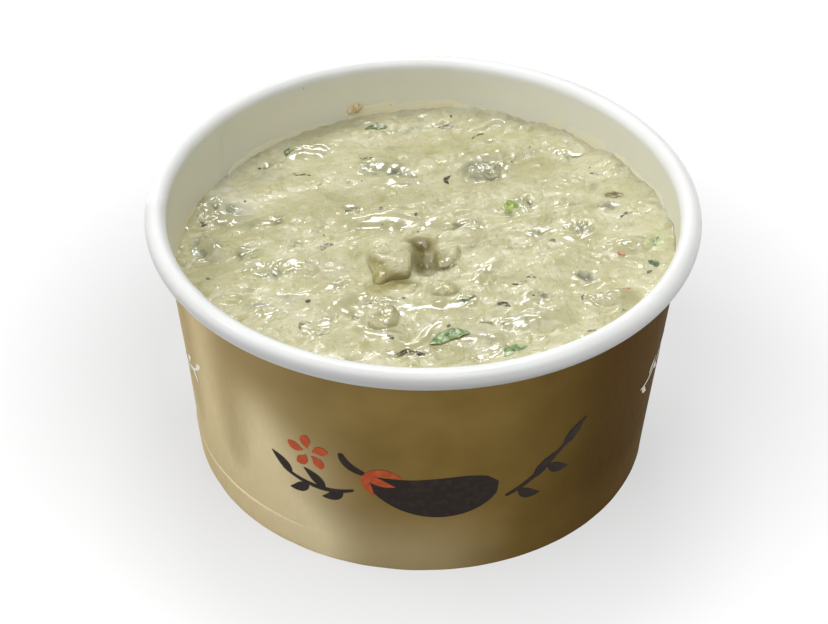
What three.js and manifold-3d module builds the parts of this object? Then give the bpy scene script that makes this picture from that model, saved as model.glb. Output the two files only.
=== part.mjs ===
// Baba ganoush in its paper tub: the rolled-rim tub, its recessed bottom disc, the dip with its lumps,
// hollows and herb flecks, and the larger aubergine pieces that stand out of it.
// Millimetres, +Z up. The origin is the centre of the ring that the tub stands on; its front faces -Y.
import * as THREE from "three";
import { mergeVertices } from "three/addons/utils/BufferGeometryUtils.js";
import Module from "manifold-3d";

const wasm = await Module();
wasm.setup();

// ---- Driving dimensions of the tub ----
const TUB_HEIGHT = 49.9;
const RIM_RADIUS = 48.5; // over the rolled rim
const ROLL_RADIUS = 1.87; // outside of the roll's own tube
const BASE_RADIUS = 40.25; // outside of the wall, where it stands
const PAPER = 0.45; // one layer of coated board
const FIT_GAP = 0.3; // clearance between pieces that touch
const CRIMP_HEIGHT = 6; // the pressed band round the foot
const CRIMP_STEP = 0.12; // how far the band stands proud of the wall
const FOOT_ROUND = 0.35; // rounding of the foot's folded edge
const ROLL_STEP = Math.PI / 6; // one face of the roll, seen in section
const ROLL_STEPS = 10; // faces from the wall over the top to the roll's cut edge
const TUB_SIDES = 60;

// ---- Driving dimensions of the dip ----
const DIP_LEVEL = 38.6; // skin over the middle of the tub
const DIP_RISE_RIGHT = 2.2; // how much higher the skin meets the wall on the right
const DIP_RISE_BACK = 0.8; // and at the back
const DIP_RINGS = 27; // rings of faces from the middle to the wall
const EDGE_CLIMB = 0.7; // the skin creeps up the wall by this much
const EDGE_WIDTH = 1.8; // over this width
const SWEEP_TURN = THREE.MathUtils.degToRad(14); // the spoon's sweeps run left-front to right-back
const SWEEP_PITCH = 12.5;
const SWEEP_RISE = 0.28;
const LUMP_COUNT = 260; // small lumps of pulp under the skin
const LUMP_RADIUS = 2.9;
const LUMP_RISE = 0.5;
const GOLDEN_ANGLE = Math.PI * (3 - Math.sqrt(5));

// ---- Sizes worked out from these ----
const ROLL_CENTRE = RIM_RADIUS - ROLL_RADIUS;
const ROLL_HEIGHT = TUB_HEIGHT - ROLL_RADIUS;
const NECK_RADIUS = ROLL_CENTRE - ROLL_RADIUS; // inside of the wall where it turns into the roll
const NECK_HEIGHT = ROLL_HEIGHT - 2.5; // the wall stands straight from here up
const WALL_SLOPE = (NECK_RADIUS + PAPER - BASE_RADIUS) / NECK_HEIGHT;
const DISC_TOP = CRIMP_HEIGHT + PAPER;
const DIP_REACH = innerRadius(DIP_LEVEL);

// Outside and inside radius of the tub's wall at a height.
function outerRadius(z) {
  return BASE_RADIUS + WALL_SLOPE * Math.min(z, NECK_HEIGHT);
}
function innerRadius(z) {
  return outerRadius(z) - PAPER;
}

// ---- Hand-placed features of the dip's skin: places and sizes in mm, turns in degrees ----
const MOUNDS = [
  { x: -6.5, y: -0.8, long: 8, wide: 7.2, turn: 0, rise: 2.4 }, // slope behind the big chunk's ridge
  { x: 7.2, y: 4.6, long: 4.8, wide: 3, turn: 12, rise: 1.1 }, // pulp heaped behind the right piece
  { x: -7, y: 10.8, long: 8.5, wide: 3.2, turn: 2, rise: 0.9 },
  { x: -7, y: 21.5, long: 6.5, wide: 4.2, turn: 0, rise: 0.9 },
  { x: -15, y: -14, long: 6, wide: 4.5, turn: 60, rise: 0.7 },
  { x: -26, y: 1, long: 6.5, wide: 4, turn: 10, rise: 0.8 },
  { x: -31.4, y: -1.5, long: 4, wide: 2.8, turn: 0, rise: 0.7 },
  { x: -36.5, y: 2.5, long: 4.5, wide: 3, turn: -40, rise: 1 },
  { x: 20, y: 9, long: 12, wide: 3, turn: 18, rise: 0.8 },
  { x: 14, y: 30, long: 8, wide: 4, turn: 12, rise: 0.7 },
  { x: 36.5, y: 0.8, long: 5, wide: 3, turn: 10, rise: 0.9 },
  { x: 34, y: -14, long: 4.5, wide: 2.6, turn: 10, rise: 0.8 },
  { x: 21, y: -19.5, long: 7, wide: 3.4, turn: 8, rise: 0.9 },
  { x: 3, y: -28.5, long: 8, wide: 3, turn: -4, rise: 0.7 },
];
const HOLLOWS = [
  { x: -0.2, y: 3.0, long: 3.6, wide: 2.8, turn: 12, rise: -1.1 }, // behind the big chunk's shoulder
  { x: 0.6, y: -1.9, long: 5.2, wide: 3.3, turn: 84, rise: -1.5 }, // trough under its steep side
  { x: -0.6, y: -20.8, long: 6.2, wide: 5.4, turn: 0, rise: -0.9 }, // glossy pool in front
  { x: 28, y: 6.4, long: 3.6, wide: 2.4, turn: 8, rise: -0.5 },
  { x: 28.6, y: -8, long: 2.8, wide: 1.9, turn: 0, rise: -0.5 },
  { x: -37.5, y: 9, long: 5, wide: 3.4, turn: -50, rise: -0.6 },
  { x: 33, y: 12.5, long: 4, wide: 2.4, turn: 0, rise: -0.4 },
  { x: -20, y: 31, long: 7, wide: 3.4, turn: 20, rise: -0.6 },
];

// The larger pieces of flesh. Each is a block of flat cut faces: the way a face looks, and how far it lies
// from the middle. The higher its edge number, the sharper its edges. Lobes swell out of it or sink into
// it, each with the way to it, its width in degrees and its rise. The middle lies over the ground plan at
// x and y, and as high over the skin's level as the piece's lift says.
const block = (left, right, front, back, bottom, top) => [
  [-1, 0, 0, left], [1, 0, 0, right], [0, -1, 0, front], [0, 1, 0, back], [0, 0, -1, bottom], [0, 0, 1, top],
];
const PIECES = [
  {
    name: "aubergine_chunk", x: -6.1, y: -3.9, lift: 0, edge: 7, crags: 1, rough: 0.02, colour: 0xc2bb8c,
    faces: [
      [1, -0.06, 0.06, 4.2], [-1, 0.1, 0.5, 3.8], [-0.78, -0.6, 0.3, 3.1], [0.08, -0.95, 0.3, 3.55],
      [0, 1, 0.25, 3.8], [0, 0, -1, 2.8], [0.03, -0.34, 0.94, 2.65], [0, 0.35, 0.94, 3],
    ],
    lobes: [
      { way: [-0.72, 0.36, 0.6], width: 22, rise: 0.6 },
      { way: [-0.36, -0.93, 0], width: 19, rise: 2 },
      { way: [-0.75, -0.15, 0.66], width: 15, rise: -0.3 },
      { way: [-0.45, -0.5, 0.72], width: 15, rise: -0.45 },
      { way: [-0.2, -0.85, 0.45], width: 14, rise: -0.3 },
      { way: [0.45, -0.2, 0.9], width: 24, rise: 0.2 },
    ],
  },
  {
    name: "aubergine_piece_right", x: 4.2, y: -0.9, lift: -0.95, edge: 6, crags: 4, rough: 0.03,
    colour: 0xaca67c,
    faces: [
      [1, -0.1, 0.3, 2.3], [-1, -0.1, 0.1, 2], [0.25, -1, 0.15, 3.2], [0, 1, 0.4, 3.2], [0, 0, -1, 1.8],
      [0.06, -0.26, 0.96, 1.9], [-0.3, 0.2, 0.93, 2],
    ],
    lobes: [
      { way: [0.4, 0.6, 0.7], width: 24, rise: 0.2 },
      { way: [-0.2, -0.2, 0.95], width: 24, rise: -0.15 },
    ],
  },
  {
    name: "aubergine_piece_small", x: 3.6, y: -10.5, lift: -0.4, edge: 2.3, crags: 7, rough: 0.05,
    colour: 0xc6bb78, faces: block(3, 3.1, 2, 2.1, 1.8, 1.7), lobes: [],
  },
  {
    name: "aubergine_piece_front", x: -7.2, y: -18.4, lift: -0.7, edge: 2.6, crags: 2, rough: 0.05,
    colour: 0xbcb584, faces: block(3.2, 3, 2.9, 3, 2.3, 2.2),
    lobes: [
      { way: [0.55, 0.7, 0.3], width: 30, rise: 1 },
      { way: [-0.4, -0.3, 0.8], width: 28, rise: 0.35 },
      { way: [0.2, 0.1, 1], width: 18, rise: -0.25 },
    ],
  },
  {
    name: "aubergine_piece_back", x: 10.8, y: 24.2, lift: -1.3, edge: 3, crags: 5, rough: 0.06,
    colour: 0xa09e88, faces: block(3.9, 3.7, 2.9, 2.9, 2, 2.3), lobes: [],
  },
];

// Herb strands, charred flecks and leaf scraps lying in the skin.
const FLECKS = [
  { x: -22.1, y: 24.3, long: 2.9, wide: 0.5, turn: -4 },
  { x: -16.9, y: 2.6, long: 2.8, wide: 1.3, turn: 42 },
  { x: -24.8, y: 31.9, long: 2.6, wide: 1.2, turn: 60 },
  { x: -9, y: 38.6, long: 4.2, wide: 1.5, turn: 6 },
  { x: -10.6, y: 29, long: 2.4, wide: 0.6, turn: -5 },
  { x: 4.8, y: 22.2, long: 2.7, wide: 0.9, turn: 82 },
  { x: 4.1, y: 38.8, long: 3, wide: 0.9, turn: 3 },
  { x: 10, y: 35.8, long: 2.8, wide: 0.5, turn: 35 },
  { x: 22.8, y: 2.8, long: 1.6, wide: 0.8, turn: -25 },
  { x: 31, y: 22.4, long: 1.7, wide: 0.6, turn: -12 },
  { x: 34.4, y: 15.6, long: 3.4, wide: 1.8, turn: 0 },
  { x: 36.2, y: 9.8, long: 2.6, wide: 0.6, turn: 35 },
  { x: 16.8, y: -9, long: 2.9, wide: 0.6, turn: 18 },
  { x: 18.9, y: -7.9, long: 1.8, wide: 0.4, turn: -6 },
  { x: 13.9, y: -14.8, long: 2.9, wide: 0.9, turn: -18 },
  { x: 27.9, y: -13.7, long: 2.2, wide: 0.5, turn: 86 },
  { x: 11.2, y: -20.6, long: 3.2, wide: 0.5, turn: -25 },
  { x: 34.8, y: -1.9, long: 1.4, wide: 0.9, turn: -20 },
  { x: 35.3, y: -12.4, long: 1.7, wide: 1.2, turn: 35 },
  { x: 40.2, y: -4.5, long: 2.6, wide: 1.4, turn: -55 },
  { x: 39.6, y: -6.9, long: 1.2, wide: 0.7, turn: 40 },
  { x: 41.3, y: 1.2, long: 2.4, wide: 1.1, turn: 75 },
  { x: 29, y: -22.9, long: 1.8, wide: 0.8, turn: 15 },
  { x: 15.9, y: -27.3, long: 4.8, wide: 1.9, turn: 35 },
  { x: -20.1, y: -18.9, long: 2.6, wide: 0.8, turn: 50 },
  { x: -17.1, y: -20.9, long: 2.8, wide: 0.8, turn: -10 },
  { x: -2.6, y: -28.2, long: 6.6, wide: 1.1, turn: 0 },
  { x: -5.4, y: -23.4, long: 1.6, wide: 0.7, turn: -40 },
  { x: -39.5, y: 10.9, long: 1.6, wide: 1, turn: 30 },
  { x: -13.4, y: 13.1, long: 1.6, wide: 0.7, turn: 40 },
  { x: 8, y: -13, long: 2.6, wide: 1.4, turn: 20 },
];
const FLECK_THICKNESS = 0.5;
const FLECK_PROUD = 0.14;

// Leaves: thin wavy solids that stand a little out of the skin.
const LEAVES = [
  { x: 15.9, y: 12.6, long: 3.4, wide: 2.1, turn: 52, lean: 24 },
  { x: 4.7, y: -24.2, long: 7.2, wide: 2.4, turn: 20, lean: 8 },
];
const LEAF_THICKNESS = 0.35;
const LEAF_PROUD = 0.3;
const LEAF_WAVE = 0.16;

// ---- Meshes and solids ----

// A mesh whose shared corners are merged, with nothing but its places left.
function welded(geometry) {
  for (const name of ["normal", "uv"]) geometry.deleteAttribute(name);
  return mergeVertices(geometry, 1e-4);
}

// A closed mesh as a solid that can be joined and cut, and back again.
function solidOf(geometry) {
  const vertProperties = new Float32Array(geometry.attributes.position.array);
  const triVerts = new Uint32Array(geometry.index.array);
  return new wasm.Manifold(new wasm.Mesh({ numProp: 3, vertProperties, triVerts }));
}
function geometryOf(solid) {
  const mesh = solid.getMesh();
  const geometry = new THREE.BufferGeometry();
  geometry.setAttribute("position", new THREE.BufferAttribute(mesh.vertProperties, mesh.numProp));
  geometry.setIndex(new THREE.BufferAttribute(mesh.triVerts, 1));
  geometry.computeVertexNormals();
  return geometry;
}

// A closed profile of [radius, height] points, turned about the vertical axis.
function turned(points, sides) {
  const profile = [...points, points[0]].map(([radius, height]) => new THREE.Vector2(radius, height));
  return new THREE.LatheGeometry(profile, sides).rotateX(Math.PI / 2);
}

// Points of the roll's section, from the wall over the top and round to its cut edge.
function rollArc(radius) {
  return Array.from({ length: ROLL_STEPS + 1 }, (_, i) => {
    const angle = Math.PI - i * ROLL_STEP;
    return [ROLL_CENTRE + radius * Math.cos(angle), ROLL_HEIGHT + radius * Math.sin(angle)];
  });
}

function namedMesh(name, geometry, color, roughness, metalness = 0) {
  const mesh = new THREE.Mesh(geometry, new THREE.MeshStandardMaterial({ color, roughness, metalness }));
  mesh.name = name;
  return mesh;
}

// ---- The tub ----

// The side wall: one sheet from the flap folded in under the foot, up the cone and round the rolled rim.
function tubWall() {
  const flapOuter = innerRadius(0) - PAPER - 2 * FIT_GAP;
  const flapInner = flapOuter - PAPER;
  const flapTop = CRIMP_HEIGHT - PAPER - FIT_GAP;
  const lean = WALL_SLOPE * flapTop;
  return turned(
    [
      [flapInner + FOOT_ROUND, 0],
      [BASE_RADIUS - FOOT_ROUND, 0],
      [outerRadius(FOOT_ROUND) + CRIMP_STEP, FOOT_ROUND],
      [outerRadius(CRIMP_HEIGHT) + CRIMP_STEP, CRIMP_HEIGHT - CRIMP_STEP],
      [outerRadius(CRIMP_HEIGHT), CRIMP_HEIGHT + CRIMP_STEP],
      [outerRadius(NECK_HEIGHT), NECK_HEIGHT],
      ...rollArc(ROLL_RADIUS - PAPER),
      ...rollArc(ROLL_RADIUS).reverse(),
      [innerRadius(NECK_HEIGHT), NECK_HEIGHT],
      [innerRadius(PAPER), PAPER],
      [flapOuter, PAPER],
      [flapOuter + lean, flapTop],
      [flapInner + lean, flapTop],
      [flapInner, FOOT_ROUND],
    ],
    TUB_SIDES,
  );
}

// The bottom: a disc with its skirt turned down, held between the wall and the flap.
function tubBottom() {
  const skirtOuter = innerRadius(0) - FIT_GAP;
  const skirtEnd = PAPER + FIT_GAP;
  const reach = skirtOuter + WALL_SLOPE * DISC_TOP;
  return turned(
    [
      [0, CRIMP_HEIGHT],
      [skirtOuter - PAPER + WALL_SLOPE * CRIMP_HEIGHT, CRIMP_HEIGHT],
      [skirtOuter - PAPER + WALL_SLOPE * skirtEnd, skirtEnd],
      [skirtOuter + WALL_SLOPE * skirtEnd, skirtEnd],
      [reach, DISC_TOP],
      [0, DISC_TOP],
    ],
    TUB_SIDES,
  );
}

// ---- The dip ----

// A round hump's height, from 1 in its middle to 0 at its edge.
function hump(distance) {
  return distance < 1 ? (1 - distance * distance) ** 2 : 0;
}

// The share of a long feature that a place takes, seen from above.
function featureAt({ x: fx, y: fy, long, wide, turn }, x, y) {
  const angle = THREE.MathUtils.degToRad(turn);
  const along = (x - fx) * Math.cos(angle) + (y - fy) * Math.sin(angle);
  const across = (y - fy) * Math.cos(angle) - (x - fx) * Math.sin(angle);
  return hump(Math.hypot(along / long, across / wide));
}

// Small lumps lie on a sunflower spiral, pushed off it a little, so that they cover the skin evenly.
const LUMPS = Array.from({ length: LUMP_COUNT }, (_, i) => {
  const radius = DIP_REACH * Math.sqrt((i + 0.5) / LUMP_COUNT) + 0.9 * Math.sin(5.3 * i);
  const angle = i * GOLDEN_ANGLE + 0.05 * Math.sin(3.7 * i);
  return {
    x: radius * Math.cos(angle),
    y: radius * Math.sin(angle),
    long: LUMP_RADIUS * (1 + 0.35 * Math.sin(2.1 * i)),
    wide: LUMP_RADIUS * (0.72 + 0.22 * Math.sin(4.9 * i)),
    turn: 14 + 30 * Math.sin(1.3 * i),
    rise: LUMP_RISE * (0.35 + 0.65 * Math.sin(7.7 * i)),
  };
});

// Height of the skin over the table, at a place seen from above.
function skinHeight(x, y) {
  const across = y * Math.cos(SWEEP_TURN) - x * Math.sin(SWEEP_TURN);
  const level = DIP_LEVEL + (DIP_RISE_RIGHT * x + DIP_RISE_BACK * y) / DIP_REACH;
  const sweeps = SWEEP_RISE * Math.sin((2 * Math.PI * across) / SWEEP_PITCH + Math.sin(x / 8));
  const features = [...LUMPS, ...MOUNDS, ...HOLLOWS];
  const relief = features.reduce((sum, feature) => sum + feature.rise * featureAt(feature, x, y), 0);
  const fromWall = Math.max(0, DIP_REACH - Math.hypot(x, y));
  const climb = EDGE_CLIMB * (0.6 + 0.4 * Math.sin(5 * Math.atan2(y, x) + 1));
  return level + sweeps + relief + climb * Math.exp(-fromWall / EDGE_WIDTH);
}

// Radius that the dip reaches at a height: clear of the flat sides of the wall round it.
function dipRadius(z) {
  return innerRadius(z) * Math.cos(Math.PI / TUB_SIDES) - FIT_GAP;
}

// The body of the dip: rings of near-equal triangles for the skin, then the side and the flat underside.
// Ring k has 6k corners, and the last ring is repeated at the foot.
function dipBody() {
  const places = [[0, 0, skinHeight(0, 0)]];
  const ringStart = [0];
  const corner = (ring, i) => (ring === 0 ? 0 : ringStart[ring] + (i % (6 * ring)));
  for (let ring = 1; ring <= DIP_RINGS; ring++) {
    ringStart.push(places.length);
    for (let i = 0; i < 6 * ring; i++) {
      const angle = (i * Math.PI) / (3 * ring);
      const share = ring / DIP_RINGS;
      const reach = dipRadius(skinHeight(DIP_REACH * Math.cos(angle), DIP_REACH * Math.sin(angle)));
      const [x, y] = [share * reach * Math.cos(angle), share * reach * Math.sin(angle)];
      places.push([x, y, skinHeight(x, y)]);
    }
  }
  const faces = [];
  for (let ring = 1; ring <= DIP_RINGS; ring++) {
    for (let side = 0; side < 6; side++) {
      for (let i = 0; i < ring; i++) {
        const outer = side * ring + i;
        const inner = side * (ring - 1) + i;
        const [start, end] = [corner(ring, outer), corner(ring, outer + 1)];
        faces.push(start, end, corner(ring - 1, inner));
        if (i < ring - 1) faces.push(end, corner(ring - 1, inner + 1), corner(ring - 1, inner));
      }
    }
  }
  const count = 6 * DIP_RINGS;
  const footHeight = DISC_TOP + FIT_GAP;
  const foot = places.length;
  for (let i = 0; i < count; i++) {
    const angle = (i * Math.PI) / (3 * DIP_RINGS);
    const reach = dipRadius(footHeight);
    places.push([reach * Math.cos(angle), reach * Math.sin(angle), footHeight]);
  }
  const middle = places.push([0, 0, footHeight]) - 1;
  for (let i = 0; i < count; i++) {
    const next = (i + 1) % count;
    const [top, topNext] = [corner(DIP_RINGS, i), corner(DIP_RINGS, i + 1)];
    faces.push(top, foot + i, foot + next, top, foot + next, topNext, foot + i, middle, foot + next);
  }
  const geometry = new THREE.BufferGeometry();
  geometry.setAttribute("position", new THREE.Float32BufferAttribute(places.flat(), 3));
  geometry.setIndex(faces);
  return geometry;
}

// How far the surface of a piece of flesh lies from its middle, each way: its faces with rounded edges,
// the lobes on them, and a slight waviness.
function fleshReach(way, { faces, edge, lobes, crags, rough }) {
  const facing = ([x, y, z]) => way.dot(new THREE.Vector3(x, y, z).normalize());
  const near = faces.reduce((sum, face) => sum + Math.max(0, facing(face) / face[3]) ** edge, 0);
  const lobed = lobes.reduce((sum, lobe) => {
    const apart = THREE.MathUtils.radToDeg(Math.acos(Math.min(1, facing(lobe.way))));
    return sum + lobe.rise * Math.exp(-((apart / lobe.width) ** 2));
  }, 0);
  const swell = Math.sin(4.1 * way.x + 2 * crags) * Math.sin(3.3 * way.y + crags);
  const ripple = Math.sin(6.7 * way.z + 5 * way.x) / 2;
  return (near ** (-1 / edge) + lobed) * (1 + rough * (swell + ripple));
}

// A block of flesh that stands out of the skin. Grown, it is the piece's socket.
function fleshPiece(piece, grown = 0) {
  const { x, y, lift } = piece;
  const geometry = welded(new THREE.IcosahedronGeometry(1, 3));
  const place = geometry.attributes.position;
  const way = new THREE.Vector3();
  for (let i = 0; i < place.count; i++) {
    way.fromBufferAttribute(place, i).normalize();
    const reach = fleshReach(way, piece) + grown;
    place.setXYZ(i, way.x * reach, way.y * reach, way.z * reach);
  }
  const level = DIP_LEVEL + (DIP_RISE_RIGHT * x + DIP_RISE_BACK * y) / DIP_REACH;
  return geometry.translate(x, y, level + lift);
}

// A fleck pressed into the skin, and a leaf that stands out of it: both faces wave alike.
function fleck({ x, y, long, wide, turn }) {
  const geometry = welded(new THREE.IcosahedronGeometry(1, 0)).scale(long / 2, wide / 2, FLECK_THICKNESS / 2);
  geometry.rotateZ(THREE.MathUtils.degToRad(turn));
  return geometry.translate(x, y, skinHeight(x, y) + FLECK_PROUD - FLECK_THICKNESS / 2);
}
function leaf({ x, y, long, wide, turn, lean }) {
  const geometry = welded(new THREE.CylinderGeometry(1, 1, LEAF_THICKNESS, 14, 1).rotateX(Math.PI / 2));
  geometry.scale(long / 2, wide / 2, 1);
  const place = geometry.attributes.position;
  for (let i = 0; i < place.count; i++) {
    const wave = LEAF_WAVE * Math.sin((2 * Math.PI * place.getX(i)) / long + place.getY(i));
    place.setZ(i, place.getZ(i) + wave);
  }
  geometry.rotateX(THREE.MathUtils.degToRad(lean)).rotateZ(THREE.MathUtils.degToRad(turn));
  return geometry.translate(x, y, skinHeight(x, y) + LEAF_PROUD);
}

// The dip with its flecks and leaves fused on, and a socket for each piece of flesh.
function dip() {
  let solid = solidOf(dipBody());
  for (const geometry of [...FLECKS.map(fleck), ...LEAVES.map(leaf)]) solid = solid.add(solidOf(geometry));
  for (const piece of PIECES) solid = solid.subtract(solidOf(fleshPiece(piece, FIT_GAP)));
  return geometryOf(solid);
}

// ---- The whole ----
const group = new THREE.Group();
group.name = "baba_ganoush_tub";
group.add(
  namedMesh("tub_wall", tubWall(), 0xa58f66, 0.42, 0.25),
  namedMesh("tub_bottom", tubBottom(), 0xe9e7dd, 0.6),
  namedMesh("dip", dip(), 0xcbc69d, 0.3),
  ...PIECES.map((piece) => namedMesh(piece.name, fleshPiece(piece), piece.colour, 0.35)),
);

export default group;
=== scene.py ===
"""Dresses the tub of baba ganoush: coated paper, gold print, glossy aubergine dip, flesh, skin and herbs.

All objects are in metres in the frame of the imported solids: +Z up, the tub stands on z = 0 and its front
faces -Y. The relief of the dip is worked out in millimetres, as in the solids.
"""
import logging
import math
from dataclasses import dataclass
from enum import Enum

import bpy
import numpy as np
from mathutils import Matrix, Vector
from mathutils.bvhtree import BVHTree


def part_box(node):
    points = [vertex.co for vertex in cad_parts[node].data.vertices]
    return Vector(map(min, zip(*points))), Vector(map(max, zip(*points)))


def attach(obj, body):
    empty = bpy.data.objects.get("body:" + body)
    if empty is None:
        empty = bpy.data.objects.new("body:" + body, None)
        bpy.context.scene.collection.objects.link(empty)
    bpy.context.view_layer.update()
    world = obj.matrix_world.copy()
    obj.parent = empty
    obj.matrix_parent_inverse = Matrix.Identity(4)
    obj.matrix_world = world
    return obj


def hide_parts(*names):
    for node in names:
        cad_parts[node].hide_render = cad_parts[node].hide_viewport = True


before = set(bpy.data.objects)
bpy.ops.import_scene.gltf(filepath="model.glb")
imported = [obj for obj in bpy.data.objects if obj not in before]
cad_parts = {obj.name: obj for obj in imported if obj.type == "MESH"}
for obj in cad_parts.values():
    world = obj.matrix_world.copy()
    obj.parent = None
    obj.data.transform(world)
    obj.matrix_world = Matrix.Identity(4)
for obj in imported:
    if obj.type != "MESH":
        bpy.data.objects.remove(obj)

MM = 0.001
BODY = "root"
GOLDEN_ANGLE = math.pi * (3 - math.sqrt(5))
SMOOTH_ALL = 180.0  # an angle in degrees that no edge is sharper than
WELD = 1e-6  # corners closer than this, in metres, become one

Array = np.ndarray
Colour = tuple[float, float, float, float]
Line = list[tuple[float, float]]
Material = bpy.types.Material
Piece = bpy.types.Object
Point = tuple[float, float, float]
Socket = bpy.types.NodeSocket
log = logging.getLogger("tub")


# ---- Small tools -------------------------------------------------------------------------------


def shade(red: int, green: int, blue: int) -> Colour:
    """A colour given as it looks on a screen, 0 to 255, as a linear colour for a shader."""
    linear = [((c / 255 + 0.055) / 1.055) ** 2.4 if c > 10 else c / 255 / 12.92 for c in (red, green, blue)]
    return (*linear, 1.0)


def clear_selection() -> None:
    """Leaves edit mode and deselects every object."""
    if bpy.context.object and bpy.context.object.mode != "OBJECT":
        bpy.ops.object.mode_set(mode="OBJECT")
    bpy.ops.object.select_all(action="DESELECT")


def choose(piece: Piece) -> None:
    """Makes one piece the only one selected, and the active one.

    Args:
        piece: the piece.
    """
    clear_selection()
    piece.select_set(True)
    bpy.context.view_layer.objects.active = piece


def places(piece: Piece) -> Array:
    """The corners of a piece.

    Args:
        piece: the piece.

    Returns:
        Their places in metres, one row each.
    """
    flat = np.empty(len(piece.data.vertices) * 3, dtype=np.float32)
    piece.data.vertices.foreach_get("co", flat)
    return flat.reshape(-1, 3).astype(np.float64)


def move_to(piece: Piece, corners: Array) -> None:
    """Moves the corners of a piece to new places in metres."""
    piece.data.vertices.foreach_set("co", corners.astype(np.float32).ravel())
    piece.data.update()


def move_round(piece: Piece, radius: Array, turn: Array, height: Array) -> None:
    """Moves corners to places round the tub's axis: radius and height in mm, turn in radians."""
    move_to(piece, np.stack([radius * np.cos(turn), radius * np.sin(turn), height], axis=1) * MM)


def paint(piece: Piece, name: str, values: Array) -> None:
    """Writes one number for each corner of a piece, which a finish reads by its name."""
    layer = piece.data.attributes.new(name, "FLOAT", "POINT")
    layer.data.foreach_set("value", values.astype(np.float32).ravel())


def edit(piece: Piece) -> None:
    """Opens one piece for editing, with all of it selected.

    Args:
        piece: the piece.
    """
    choose(piece)
    bpy.ops.object.mode_set(mode="EDIT")
    bpy.ops.mesh.select_all(action="SELECT")


def close_edit() -> None:
    """Goes back from editing to the whole object."""
    bpy.ops.object.mode_set(mode="OBJECT")


def smooth(piece: Piece, angle: float) -> None:
    """Shades a piece smooth, apart from edges sharper than an angle in degrees."""
    choose(piece)
    bpy.ops.object.shade_smooth_by_angle(angle=math.radians(angle))


def join(pieces: list[Piece], name: str) -> Piece:
    """Joins pieces of one kind.

    Args:
        pieces: what is joined, in order.
        name: the name of the whole and of its mesh.

    Returns:
        The one piece that is left.
    """
    clear_selection()
    for piece in pieces:
        piece.select_set(True)
    bpy.context.view_layer.objects.active = pieces[0]
    if len(pieces) > 1:
        bpy.ops.object.join()
    whole = bpy.context.object
    whole.name = name
    whole.data.name = name
    return whole


def grid_piece(name: str, columns: int, rows: int) -> Piece:
    """A flat grid, to be shaped into a blade, a stroke or a film.

    Args:
        name: the new piece's name.
        columns: faces along x.
        rows: faces along y.

    Returns:
        The grid, from -1 to 1 both ways.
    """
    clear_selection()
    bpy.ops.mesh.primitive_grid_add(x_subdivisions=columns, y_subdivisions=rows, size=2)
    piece = bpy.context.object
    piece.name = name
    return piece


def ball(name: str, fineness: int) -> tuple[Piece, Array]:
    """A ball of even triangles, to be shaped into a lump.

    Args:
        name: the new piece's name.
        fineness: how many times its triangles are cut.

    Returns:
        The ball, and the ways to its corners.
    """
    clear_selection()
    bpy.ops.mesh.primitive_ico_sphere_add(subdivisions=fineness, radius=1)
    piece = bpy.context.object
    piece.name = name
    return piece, places(piece)


def thicken(piece: Piece, thickness: float, offset: float = 0.0) -> None:
    """Gives a sheet its thickness, closed all round.

    Args:
        piece: the sheet.
        thickness: in mm.
        offset: 0 to grow both ways, 1 to grow outwards.
    """
    solid = piece.modifiers.new("thickness", "SOLIDIFY")
    solid.thickness = thickness * MM
    solid.offset = offset
    choose(piece)
    bpy.ops.object.modifier_apply(modifier=solid.name)


def spun(name: str, profile: Line, steps: int) -> Piece:
    """Turns a closed profile about the vertical axis.

    Args:
        name: the new piece's name.
        profile: radius and height of each corner, in mm, in order round the section.
        steps: faces round the axis.

    Returns:
        The closed, turned piece.
    """
    clear_selection()
    bpy.ops.mesh.primitive_circle_add(vertices=len(profile), radius=1)
    piece = bpy.context.object
    piece.name = name
    move_to(piece, np.array([[radius, 0, height] for radius, height in profile]) * MM)
    edit(piece)
    bpy.ops.mesh.spin(steps=steps, angle=2 * math.pi, center=(0, 0, 0), axis=(0, 0, 1))
    bpy.ops.mesh.select_all(action="SELECT")
    bpy.ops.mesh.remove_doubles(threshold=WELD)
    bpy.ops.mesh.normals_make_consistent(inside=False)
    close_edit()
    return piece


def hand_in(piece: Piece, material: Material, stands_for: tuple[str, ...] = ()) -> None:
    """Gives a piece its finish and its body, and reports it.

    Args:
        piece: the finished piece.
        material: its finish.
        stands_for: the solids whose place it takes.
    """
    piece.data.materials.clear()
    piece.data.materials.append(material)
    if stands_for:
        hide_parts(*stands_for)
    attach(piece, BODY)
    log.info("%s: %d faces, %s", piece.name, len(piece.data.polygons), material.name)


# ---- Smooth random fields ----------------------------------------------------------------------


def ease(low: float, high: float, value: Array) -> Array:
    """0 below low, 1 above high, and smooth between them."""
    t = np.clip((value - low) / (high - low), 0, 1)
    return t * t * (3 - 2 * t)


def turned(x: Array, y: Array, degrees: float) -> tuple[Array, Array]:
    """Distances along and across a line that is turned from the x axis."""
    turn = math.radians(degrees)
    return x * math.cos(turn) + y * math.sin(turn), y * math.cos(turn) - x * math.sin(turn)


def cell_number(column: Array, row: Array, seed: int) -> Array:
    """A steady number for each cell of a grid, the same on every run.

    Args:
        column: the cells' columns.
        row: their rows.
        seed: picks another set of numbers.

    Returns:
        The numbers, from 0 to 1.
    """
    mixed = (column.astype(np.int64) * 374761393 + row.astype(np.int64) * 668265263 + seed * 2246822519)
    mixed = (mixed ^ (mixed >> 13)) & 0xFFFFFFFF
    mixed = (mixed * 1274126177) & 0xFFFFFFFF
    mixed = (mixed ^ (mixed >> 16)) & 0xFFFFFFFF
    return mixed / 0xFFFFFFFF


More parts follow.
